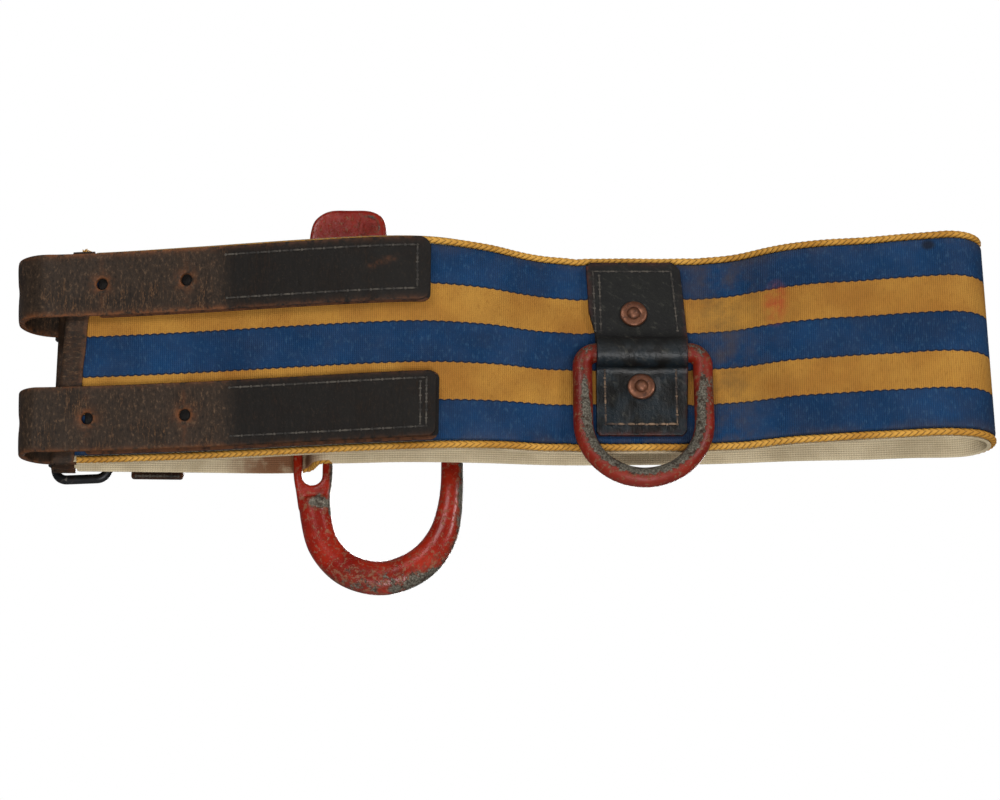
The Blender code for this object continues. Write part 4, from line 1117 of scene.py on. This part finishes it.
def ring_tab(look):
    half = TAB_THICK / 2
    corners = [(-18.3, 1.5), (-17.0, 0.0), (18.0, 0.0), (19.8, 2.0), (20.9, 28.0),
               (20.9, 57.0), (20.2, 66.0), (18.4, 88.0), (15.0, TAB_PLAN),
               (-19.5, TAB_PLAN), (-21.4, 89.5), (-20.6, 68.0), (-18.2, 58.0), (-18.0, 28.0)]
    plan = [(a * MM, b * MM * TAB_SCALE) for a, b in corners]
    mesh = plate([plan], -half, half, 0.5 * MM, 1.1 * MM)
    rows = points_of(mesh)
    x, t, h = rows.T
    relief = 0.22 * MM * rough_field(rows * np.array([1.0, 0.4, 0.0]), 150.0, 11.0)
    for rivet_x, w in RIVETS.values():
        gap = np.hypot(x - (BELT.s_at_x(rivet_x) - TAB_S), t - tab_length(w))
        relief -= 0.45 * MM * np.exp(-(gap / (7.5 * MM)) ** 4)
    folds = np.sin(x * 820.0 + 3.0 * np.sin(x * 260.0))
    relief += 0.16 * MM * folds * np.exp(-((t - tab_length(RING_W)) / (9 * MM)) ** 4)
    sunk = rows.copy()
    sunk[:, 2] += np.clip(relief, -0.45 * MM, 0.4 * MM) * (h > 0)
    rim = np.minimum(inside(x, -21 * MM, 20.9 * MM), inside(t, 0.0, TAB_LENGTH))
    keep(mesh, bench=rows, wear=0.4 * near(rim, 0.9 * MM), dark=0.8)
    move_points(mesh, tab_bend(sunk))
    link_piece("ring_tab", mesh, [look], "belt", ["dring_tab"], 50.0)


def tab_look():
    """Black leather, dry and rubbed at the top, polished at the bottom, where a bluish sheen is
    painted into its colour.
    """
    look = Look("tab_leather", 0.45, specular=0.22)
    bench = look.place()
    t = look.split(bench)[1]
    low = look.ramp(t, tab_length(2 * MM), tab_length(-8 * MM))
    broad = look.noise(bench, 80.0, 5.0, 0.6)
    grain = look.noise(bench, 1300.0, 4.0, 0.65)
    cells = look.cracks(look.stretch(bench, (420.0, 420.0, 200.0)), 1.0)
    slant = look.node_fed("VectorRotate", bench, rotation_type="Z_AXIS")
    slant.inputs["Angle"].default_value = math.radians(38)
    rubs = look.noise(look.stretch(slant.outputs[0], (230.0, 520.0, 200.0)), 1.0, 6.0, 0.75)
    folds = look.noise(look.stretch(bench, (260.0, 60.0, 100.0)), 1.0, 4.0, 0.6)
    hide = look.tones(broad, 0.35, 0.7, (8, 7, 6), (18, 18, 15))
    # Painted sheen: a bluish reflection laid into the colour over the tab's lower, polished part.
    hide = look.over(hide, look.times(low, look.ramp(broad, 0.42, 0.6)), 16, 24, 29)
    hide = look.stain(hide, rubs, 0.54, 0.72, 0.5, 72, 70, 62)
    hide = look.stain(hide, grain, 0.58, 0.75, 0.3, 60, 58, 50)
    split = look.times(look.ramp(cells, 0.0, 0.05, 1.0, 0.0), look.ramp(broad, 0.5, 0.65))
    hide = look.over(hide, look.times(split, 0.5), 8, 7, 7)
    worn = look.times(look.value("wear"), look.ramp(look.noise(bench, 420.0, 4.0), 0.35, 0.6))
    hide = look.over(hide, worn, 96, 42, 30)
    look.colour(hide)
    look.rough(look.plus(look.ramp(low, 0.0, 1.0, 0.58, 0.25), look.times(broad, 0.1)))
    relief = look.plus(look.times(rubs, 0.5), look.times(grain, 0.2))
    relief = look.plus(relief, look.times(folds, look.times(low, 0.9)))
    look.bump(look.math("SUBTRACT", relief, look.times(split, 0.25)), 0.0006, 0.7)
    return look.material


def tab_stitches(pale_thread, dark_thread, hole_shade):
    """The U of stitches below the bar, and the rows round the upper part."""
    face = TAB_THICK / 2 + STITCH_LIFT
    foot, knee, waist, top = [tab_length(w * MM) for w in (-34.8, -9.5, 8.5, 36.6)]
    lower = [(-14.4, knee, -14.4, foot, 1.0, 0.0), (-14.4, foot, 15.6, foot, 1.25, 0.3),
             (15.6, foot, 15.6, knee, 1.0, 0.0)]
    upper = [(-17.9, waist, -18.6, top, 0.8, 0.0), (-15.6, waist, -15.9, top - 2 * MM, 0.8, 0.0),
             (-18.6, top, 14.6, top, 0.8, 0.0), (14.6, top, 16.8, waist, 0.8, 0.0)]
    for part, lines, pitch, thread in (("lower", lower, 4.4 * MM, pale_thread),
                                       ("upper", upper, 3.4 * MM, dark_thread)):
        rows = [stitch_row((a * MM, b), (c * MM, d), pitch, face, tab_bend, size, slack)
                for a, b, c, d, size, slack in lines]
        link_piece("tab_stitching_" + part, join_meshes(rows), [thread, hole_shade], "belt")


def ring_route():
    """The D of the ring's centre line, from the bar's left end round to it again."""
    flat = RING_HALF - RING_CORNER
    down = np.linspace(-RING_CORNER, -RING_DROP, 26)[1:-1]
    points = [(-flat, 0.0)] + [(a, 0.0) for a in np.linspace(-flat, flat, 40)[1:-1]]
    points += arc_points(flat, -RING_CORNER, RING_CORNER, 90, 0, 14)
    points += [(RING_HALF, b) for b in down]
    points += arc_points(0.0, -RING_DROP, RING_HALF, 0, -180, 90)
    points += [(-RING_HALF, b) for b in down[::-1]]
    points += arc_points(-flat, -RING_CORNER, RING_CORNER, 180, 90, 14)[:-1]
    return np.array([(a, b, 0.0) for a, b in points])


def ring(look):
    """The D-ring: a forged round bar, its paint worn off where a hook has run."""
    route = ring_route()
    rings = tube_rings(route, np.full(len(route), RING_BAR), RING_SIDES, True, (0, 0, 1))
    rows = rings.reshape(-1, 3)
    centre = np.repeat(route, RING_SIDES, axis=0)
    across = (rows - centre) / RING_BAR
    hammered = 0.10 * MM * rough_field(rows, 120.0, 5.0) + 0.05 * MM * rough_field(rows, 420, 9.0)
    flat = 0.25 * MM * np.clip(across[:, 2], 0, 1) ** 2
    rows = rows + across * (hammered - flat - 0.05 * MM)[:, None]
    mesh = loft(rows.reshape(rings.shape), cyclic=True)
    inward = -(across * unit_rows(centre - np.array([0.0, -RING_DROP * 0.6, 0.0]))).sum(1)
    keep(mesh, chip=ring_wear(centre, across[:, 2], inward))
    mesh.transform(BELT.matrix(BELT.s_at_x(RING_X), RING_W, RING_H))
    link_piece("ring", tidy_normals(mesh), [look], "dring", ["dring"], 60.0)


def ring_wear(centre, front, inward):
    """How far the ring's paint has gone: a band that widens downwards, and the corners."""
    low = np.clip((-centre[:, 1] - 6 * MM) / (30 * MM), 0, 1)
    facing = np.clip(front + 0.25, 0, 1)
    band = bell(inward, 0.5 * low, 0.36 + 0.34 * low) * facing
    chip = 0.12 + 0.5 * band * np.clip(0.25 + low * 1.6, 0, 1)
    right = (centre[:, 0] > 0) * np.clip((-centre[:, 1] - 8 * MM) / (8 * MM), 0, 1) * (1 - low)
    chip += 0.42 * right * np.clip(-inward + 0.1, 0, 1) * np.clip(front + 0.6, 0, 1)
    corner = bell(centre[:, 1], -1.5 * MM, 4 * MM)
    chip += 0.26 * corner * np.clip(0.4 - inward, 0, 1) * facing
    return np.clip(chip, 0, 0.75)


def unit_rows(rows):
    return rows / np.maximum(np.linalg.norm(rows, axis=1), 1e-9)[:, None]


def rivet(side, look):
    """A peened copper rivet and the burr that it is closed on."""
    x, w = RIVETS[side]
    tab_face = OUTER_FACE + TAB_CLEAR + TAB_THICK
    top = tab_face + GAP + BURR_THICK
    head = LINING_INNER - GAP
    above = [(0.0, 1.6), (0.8, 1.55), (1.5, 1.3), (2.3, 0.8), (2.7, 0.3), (2.0, 0.1)]
    below = [(2.0, 0.0), (5.0, 0.0), (5.3, -0.3), (5.1, -0.7), (4.2, -1.0), (0.0, -1.1)]
    washer = [(2.05, -0.25), (2.8, -0.1), (3.3, 0.12), (4.4, 0.0), (5.2, -0.05), (5.6, -0.3),
              (5.7, -0.6)]
    foot = tab_face - 0.1 * MM
    stem = raised(above, top) + raised(below, head)
    burr = raised(washer, top) + [(5.7 * MM, foot), (2.05 * MM, foot)]
    placement = BELT.matrix(BELT.s_at_x(x), w, 0.0)
    for name, node, profile, seed in (("rivet_", "tab_rivet_", stem, 5.0),
                                      ("burr_", "tab_burr_", burr, 8.0)):
        mesh = dented(turned(profile), seed, placement)
        link_piece(name + side, mesh, [look], "belt", [node + side], 50.0)


def raised(rows, height):
    """(radius, rise) rows in millimetres, lifted to a height."""
    return [(r * MM, height + rise * MM) for r, rise in rows]


def dented(mesh, seed, placement):
    """Small hammer marks on a turned piece, which is then put in its place."""
    rows = points_of(mesh)
    marks = 0.09 * MM * rough_field(rows, 420.0, seed)
    rows[:, 2] += marks
    rows[:, 0] += marks * 0.5
    move_points(mesh, rows)
    mesh.transform(placement)
    return mesh


# ---------------------------------------------------------------- buckles
def strap_middle(side):
    return sum(STRAPS[side]["w"]) / 2 * MM


def heel_matrix(side):
    return BELT.matrix(HEEL_S, strap_middle(side), HEEL_H)


def tilted(side):
    tilt = Matrix.Rotation(-math.atan2(ROLLER_RISE, FRAME_LENGTH), 4, 'Y')
    return heel_matrix(side) @ tilt


def sleeve(inner, outer, half, soft, steps):
    """A turned tube with eased outer edges, lying across the strap."""
    section = [(inner, half), (outer - soft, half), (outer, half - soft), (outer, -half + soft),
               (outer - soft, -half), (inner, -half)]
    mesh = turned(section, steps)
    mesh.transform(Matrix.Rotation(math.radians(-90), 4, 'X'))
    return mesh


def buckle(side, look):
    span = math.hypot(FRAME_LENGTH, ROLLER_RISE)
    corners = rounded_outline(0.0, span, -FRAME_HALF, FRAME_HALF, [FRAME_CORNER] * 4, 10)
    outline = Profile(corners + [corners[0]])
    stops = np.linspace(0, outline.length[-1], FRAME_RINGS, endpoint=False)
    route = table(outline.look_up(stops, outline.points, 0),
                  outline.look_up(stops, outline.points, 1), 0.0)
    rings = tube_rings(route, np.full(FRAME_RINGS, FRAME_BAR), 16, True, (0, 0, 1))
    frame_bar = tidy_normals(loft(rings, cyclic=True))
    frame_bar.transform(tilted(side))
    roller = sleeve(*ROLLER_RADII, ROLLER_HALF, 0.35 * MM, 40)
    roller.transform(tilted(side) @ Matrix.Translation((span, 0, 0)))
    for name, node, mesh, smooth in (("frame_bar_", "buckle_frame_", frame_bar, 60.0),
                                     ("roller_sleeve_", "buckle_roller_", roller, 50.0),
                                     ("prong_shank_", "buckle_prong_", prong(side), 50.0)):
        link_piece(name + side, mesh, [look], node + side, [node + side], smooth)


def prong(side):
    inner = FRAME_BAR + GAP
    eye = sleeve(inner, inner + CHAPE_THICK, PRONG_RING_HALF, 0.4 * MM, 36)
    line = smooth_line([(x * MM, z * MM) for x, z in PRONG_SHANK], 6)
    radii = np.full(len(line), PRONG_RADIUS)
    radii[-6:] = np.linspace(PRONG_RADIUS, 0.7 * MM, 6)
    shank = loft(tube_rings(table(line[:, 0], 0.0, line[:, 1]), radii, 14))
    mesh = tidy_normals(join_meshes([eye, shank]))
    mesh.transform(heel_matrix(side))
    return mesh


def laid_fold(name, side, look, node, profile, outlines, half, bevel, step, place, fields):
    """A leather plate cut flat, then bent along a profile across or along the belt."""
    mesh = plate(outlines, -half, half, bevel, step, (0,))
    rows = points_of(mesh)
    keep(mesh, bench=rows, **fields(rows))

    def bend(points):
        return BELT.bend(place(points, *profile.offset(points[:, 0], points[:, 2])))

    move_points(mesh, bend(rows))
    link_piece(name + side, mesh, [look], "belt", [node + side], 50.0)
    return bend


def chape(side, look):
    """A leather strip folded round the heel bar, notched for the prong."""
    middle = strap_middle(side)
    lower_h = OUTER_FACE + GAP + CHAPE_THICK / 2
    upper_h = lower_h + CHAPE_THICK + GAP
    radius = HEEL_H - lower_h
    line = [(-40 * MM, lower_h), (-25 * MM, lower_h), (-8 * MM, lower_h)]
    line += arc_points(0.0, HEEL_H, radius, -90, 90, 9)
    line += [(-3.4 * MM, 8.6 * MM), (-6.6 * MM, 6.3 * MM), (-10 * MM, upper_h),
             (-16 * MM, upper_h), (-37 * MM, upper_h)]
    fold = Profile(smooth_line(line, 8))
    outline = rounded_outline(0.0, float(fold.length[-1]), -CHAPE_HALF, CHAPE_HALF,
                              [1.5 * MM] * 4, 4)
    slit = PRONG_RING_HALF + 0.6 * MM
    last = 40 * MM + math.pi * radius + 5.5 * MM
    notch = rounded_outline(35.5 * MM, last, -slit, slit, [2 * MM] * 4, 5)[::-1]

    def place(points, x, h):
        return np.stack([HEEL_S + x, middle + points[:, 1], h], -1)

    def fields(rows):
        return {"dark": 0.75,
                "wear": 0.5 * np.exp(-(CHAPE_HALF - np.abs(rows[:, 1])) / (0.8 * MM))}

    laid_fold("chape_fold_", side, look, "chape_", fold, [outline, notch], CHAPE_THICK / 2,
              0.35 * MM, 1.3 * MM, place, fields)


def keeper(side, look, thread_looks):
    """A leather loop over the strap, sewn to the belt by two feet."""
    middle = strap_middle(side)
    foot_h = OUTER_FACE + GAP + KEEPER_THICK / 2
    top_h = 12.6 * MM
    wall = 16.4 * MM
    half_line = [(20.6 * MM, foot_h), (18.4 * MM, foot_h), (wall + 0.4 * MM, foot_h + 1.0 * MM),
                 (wall, foot_h + 2.6 * MM), (wall, top_h - 3.0 * MM),
                 (wall - 0.9 * MM, top_h - 0.8 * MM), (wall - 3.4 * MM, top_h)]
    line = half_line + [(0.0, top_h)] + [(-w, h) for w, h in reversed(half_line)]
    loop = Profile(smooth_line(line, 6))
    total = float(loop.length[-1])
    half = KEEPER_THICK / 2
    outline = rounded_outline(0.0, total, *KEEPER_X, [1.2 * MM] * 4, 4)

    def place(points, w, h):
        return np.stack([HEEL_S + points[:, 1], middle + w, h], -1)

    def fields(rows):
        return {"dark": 0.7, "wear": 0.6 * near(inside(rows[:, 1], *KEEPER_X), 0.8 * MM)}

    bend = laid_fold("keeper_loop_", side, look, "keeper_", loop, [outline], half, 0.4 * MM,
                     1.2 * MM, place, fields)
    first, last = KEEPER_X[0] + 2 * MM, KEEPER_X[1] - 2 * MM
    rows = [stitch_row((foot, first), (foot, last), 3 * MM, half, bend)
            for foot in (1.2 * MM, total - 1.2 * MM)]
    link_piece("keeper_stitching_" + side, join_meshes(rows), thread_looks, "belt")


# ---------------------------------------------------------------- snap hook
def flat_plate(outlines, thickness, bevel, centre_y=HOOK_Y):
    """An upright plate from outlines in x and z, in millimetres."""
    scaled = [[(x * MM, z * MM) for x, z in outline] for outline in outlines]
    half = thickness / 2 * MM
    mesh = plate(scaled, -half, half, bevel * MM, 8 * MM, ())
    mesh.transform(Matrix.Rotation(math.radians(90), 4, 'X'))
    mesh.transform(Matrix.Translation((0, centre_y * MM, 0)))
    return mesh


def spine_outline():
    left = smooth_line([(-84.6, -63), (-85.7, -56), (-87.0, -48), (-87.0, -20), (-87.0, 40),
                        (-85.6, 47), (-83.6, 53)], 4)
    right = smooth_line([(-68.6, 53), (-69.6, 45), (-70.4, 36), (-70.4, -20), (-70.6, -50),
                         (-71.3, -57), (-71.3, -63)], 4)
    return [*left, *right]


def head_outline():
    line = smooth_line([(-82.4, 52), (-82.3, 59), (-80.3, 66.2), (-74.5, 70.4), (-65, 70.9),
                        (-56, 70.5), (-51, 67.6), (-49.2, 61.5), (-50.2, 52)], 4)
    return [*line, (-51.5, 49.5), (-54, 48.5), (-79, 48.5), (-81.5, 49.5)]


def box_mesh(low, high):
    work = bmesh.new()
    bmesh.ops.create_cube(work, size=1.0)
    size = Vector(high) - Vector(low)
    bmesh.ops.scale(work, vec=size, verts=work.verts)
    bmesh.ops.translate(work, vec=(Vector(high) + Vector(low)) / 2, verts=work.verts)
    mesh = bpy.data.meshes.new("box")
    work.to_mesh(mesh)
    work.free()
    return mesh


def forge(mesh, cutters, voxel, passes):
    """Cut, melt together on a fine grid and smooth, as a forging is."""
    item = add_item("bench_forging", mesh)
    melt = item.modifiers.new("melt", 'REMESH')
    melt.mode = 'VOXEL'
    melt.voxel_size = voxel
    helpers = []
    for cutter in cutters:
        helper = add_item("bench_cutter", cutter)
        cut = item.modifiers.new("cut", 'BOOLEAN')
        cut.operation = 'DIFFERENCE'
        cut.object = helper
        helpers.append(helper)
    ease = item.modifiers.new("ease", 'SMOOTH')
    ease.factor = 0.5
    ease.iterations = passes
    depsgraph = bpy.context.evaluated_depsgraph_get()
    result = bpy.data.meshes.new_from_object(item.evaluated_get(depsgraph))
    for part in helpers + [item]:
        bpy.data.objects.remove(part)
    return result


def hook_forging(look):
    """Slotted spine, head and bend melted into one forging, with the fork cut for the gate."""
    slot = rounded_outline(*SLOT, [4.2, 4.2, 2.5, 2.5], 8)
    spine = flat_plate([spine_outline(), slot[::-1]], PLATE_THICK, 1.3)
    head = flat_plate([head_outline()], HEAD_THICK, 1.6)
    line = smooth_line(U_ROUTE, 8)
    route = table(line[:, 0] * MM, 0.0, line[:, 1] * MM)
    rings = tube_rings(route, line[:, 2] * MM, 32)
    bar = loft(nose_rounded(rings))
    bar.transform(Matrix.Scale(U_FLATTEN, 4, (0, 1, 0)))
    bar.transform(Matrix.Translation((0, HOOK_Y * MM, 0)))
    fork = box_mesh((-65 * MM, FORK_Y[0] * MM, 40 * MM), (-40 * MM, FORK_Y[1] * MM, 67.6 * MM))
    mesh = forge(join_meshes([spine, head, bar]), [fork], 0.55 * MM, 7)
    rows = points_of(mesh)
    x, z = rows[:, 0] / MM, rows[:, 2] / MM
    outer = np.clip((np.hypot(x + 50, z + 62) - 31) / 5, 0, 1) * np.clip((x + 50) / 20, 0, 1)
    outer *= np.clip((-z - 50) / 12, 0, 1)
    keel = bell(z, -96, 7)
    shoulder = bell(x, -75.5, 4.2) * bell(z, -61.0, 2.4)
    strip = bell(x, -70.8, 1.2) * (z < -40) * (z > -66)
    rim = bell(x, -15.5, 2.2) * (z < -35) * (z > -85)
    inner = bell(np.hypot(x + 48.5, z + 60), 21.5, 2.0) * (z < -60)
    chip = 0.17 + 0.2 * outer + 0.17 * keel + 0.6 * shoulder + 0.34 * strip + 0.26 * rim
    keep(mesh, chip=np.clip(chip + 0.1 * inner, 0, 1))
    link_piece("hook_forging", mesh, [look], "hook", ["hook_body"], 60.0)


def nose_rounded(rings):
    """Close the far end of a bar with a dome."""
    last = rings[-1]
    centre = last.mean(0)
    step = rings[-1].mean(0) - rings[-2].mean(0)
    along = step / np.linalg.norm(step)
    radius = np.linalg.norm(last - centre, axis=1).mean()
    dome = []
    for angle in np.radians([20, 40, 60, 75, 86]):
        shrunk = centre + (last - centre) * math.cos(angle)
        dome.append(shrunk + along * radius * (math.sin(angle) - 0.95))
    kept = [row for row in rings if (row.mean(0) - (centre - along * radius)).dot(along) < 0]
    return np.array(kept + dome)


def gate_line(distance, side):
    run = Vector(GATE_TIP) - Vector(GATE_PIVOT)
    along = run.normalized()
    across = Vector((-along.y, along.x))
    return tuple(Vector(GATE_PIVOT) + along * distance + across * side)


def gate_forging(look):
    """A tapering bar with an ear that turns in the hook's fork."""
    reach = (Vector(GATE_TIP) - Vector(GATE_PIVOT)).length
    bar = [gate_line(GATE_START, -3.2), gate_line(reach - 3.5, -GATE_HALF),
           gate_line(reach - 0.8, -2.6), gate_line(reach, 0.0), gate_line(reach - 0.8, 2.6),
           gate_line(reach - 3.5, GATE_HALF), gate_line(GATE_START, 3.2)]
    start = math.degrees(math.atan2(GATE_TIP[1] - GATE_PIVOT[1], GATE_TIP[0] - GATE_PIVOT[0]))
    ear = arc_points(*GATE_PIVOT, GATE_EAR, start + 90, start + 270, 21)
    ear += [gate_line(GATE_START + 6, -2.8), gate_line(GATE_START + 6, 2.8)]
    thick = flat_plate([bar], GATE_THICK, 1.0)
    thin = flat_plate([ear], EAR_Y[1] - EAR_Y[0], 0.2, sum(EAR_Y) / 2)
    mesh = forge(join_meshes([thick, thin]), [], 0.3 * MM, 4)
    rows = points_of(mesh)
    keep(mesh, chip=0.18 + 0.35 * bell(rows[:, 2], 4 * MM, 8 * MM))
    link_piece("gate_forging", mesh, [look], "gate", ["hook_gate"], 60.0)


def dress_node(name, look, chip=None):
    """A better material on a CAD node that is kept as it is."""
    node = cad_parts[name]
    node.data.materials.clear()
    node.data.materials.append(look)
    if chip is not None:
        keep(node.data, chip=chip)


# ---------------------------------------------------------------- studio
def studio():
    """White to the camera, dim and cool to the belt, with four soft lamps."""
    scene = bpy.context.scene
    scene.view_settings.view_transform = 'Standard'
    world = bpy.data.worlds.new("studio")
    scene.world = world
    world.use_nodes = True
    tree = world.node_tree
    seen = tree.nodes.new("ShaderNodeBackground")
    lit = tree.nodes["Background"]
    for node, colour, strength in ((seen, (1.0, 1.0, 1.0, 1.0), 1.0),
                                   (lit, (0.93, 0.96, 1.0, 1.0), 0.2)):
        node.inputs["Color"].default_value = colour
        node.inputs["Strength"].default_value = strength
    path = tree.nodes.new("ShaderNodeLightPath")
    choose = tree.nodes.new("ShaderNodeMixShader")
    tree.links.new(path.outputs["Is Camera Ray"], choose.inputs[0])
    tree.links.new(lit.outputs[0], choose.inputs[1])
    tree.links.new(seen.outputs[0], choose.inputs[2])
    tree.links.new(choose.outputs[0], tree.nodes["World Output"].inputs["Surface"])
    soft_light("key", (-0.7, -1.6, 0.8), 0.8, 15.0)
    soft_light("fill", (1.2, -1.3, 0.35), 0.4, 13.0)
    soft_light("low", (0.1, -1.5, -0.95), 0.8, 24.0)
    soft_light("back", (0.3, 1.7, 0.45), 1.2, 52.0)
    floor()
    camera()


def point_at(item, location, direction):
    """Put a lamp or a camera in its place, looking along a direction."""
    item.location = location
    item.rotation_mode = 'QUATERNION'
    item.rotation_quaternion = direction.to_track_quat('-Z', 'Y')


def soft_light(name, location, size, power):
    lamp = bpy.data.lights.new(name, 'AREA')
    lamp.shape = 'DISK'
    lamp.size = size
    lamp.energy = power
    point_at(add_item(name, lamp), location, -Vector(location))


def floor():
    """A wide pale floor well under the belt, which hangs clear of it."""
    turn = np.linspace(0, 2 * math.pi, 64, endpoint=False)
    rings = [[(r * math.cos(a), r * math.sin(a), z) for a in turn]
             for r, z in ((0.01, FLOOR_Z), (3, FLOOR_Z), (12, FLOOR_Z), (12, FLOOR_Z - 0.1),
                          (0.01, FLOOR_Z - 0.1))]
    mesh = loft(rings)
    look = Look("pale_floor", 0.8)
    seen = look.node("LightPath").outputs["Is Camera Ray"]
    look.shader.inputs["Emission Color"].default_value = (0.9, 0.9, 0.89, 1.0)
    look.feed(look.shader.inputs["Emission Strength"], look.times(seen, 0.6))
    grain = look.noise(look.solid(), 3.0, 2.0)
    look.colour(look.mix(grain, tint(232, 232, 230), tint(240, 240, 238)))
    mesh.materials.append(look.material)
    add_item("floor", mesh)


def camera():
    lens = bpy.data.cameras.new("camera")
    lens.lens = CAMERA_LENS
    lens.sensor_width = 36.0
    lens.clip_end = 50.0
    item = add_item("camera", lens)
    rise = math.radians(CAMERA_RISE)
    back = Vector((0.0, -math.cos(rise), math.sin(rise)))
    point_at(item, Vector(CAMERA_AIM) + back * CAMERA_AWAY, -back)
    bpy.context.scene.camera = item


def main():
    studio()
    braid = braid_look()
    brown = leather_look("brown_leather", tint(43, 33, 25), tint(17, 14, 11), tint(98, 76, 57))
    black = leather_look("black_leather", tint(54, 32, 22), tint(17, 14, 12), tint(72, 62, 54))
    dark_thread = thread_look("dark_thread", tint(70, 64, 56), tint(26, 22, 18))
    pale_thread = thread_look("tan_thread", tint(122, 98, 76), tint(44, 34, 27))
    hole_shade = hole_shade_look()
    steel = black_steel_look()
    copper = copper_look()
    ring_paint = paint_look("ring_paint", 520.0, 0.4, tint(84, 13, 5), tint(116, 28, 10), 0.6)
    hook_paint = paint_look("hook_paint", 230.0, 0.24, tint(104, 13, 4), tint(140, 30, 9))

    belt_layer("webbing", WEB_HALF, WEB_INNER, OUTER_FACE, webbing_look(), "webbing",
               "webbing_belt", webbing_wear)
    belt_layer("lining", LINING_HALF, LINING_INNER, LINING_OUTER, lining_look(), "lining",
               "inner_lining", lining_wear)
    braided_cord("cord_top", CORD_W, braid, "edge_cord_top")
    braided_cord("cord_bottom", -CORD_W, braid, "edge_cord_bottom")
    end_tuft(thread_look("loose_gold", tint(214, 172, 96), tint(168, 120, 52)))
    binding("binding_front", FRONT_END, 1, brown, "end_binding_front", FRONT_SLANT)
    binding("binding_back", BACK_END, -1, brown, "end_binding_back", 0.0)
    for side in STRAPS:
        closing_strap(side, brown)
        strap_backing(side, black)
        strap_stitches(side, [dark_thread, hole_shade])
        chape(side, black)
        keeper(side, black, [dark_thread, hole_shade])
        buckle(side, steel)
    ring_tab(tab_look())
    tab_stitches(pale_thread, dark_thread, hole_shade)
    ring(ring_paint)
    for side in RIVETS:
        rivet(side, copper)
    hook_forging(hook_paint)
    gate_forging(hook_paint)
    dress_node("gate_rivet", hook_paint, 0.35)
    dress_node("gate_spring", spring_look())


main()
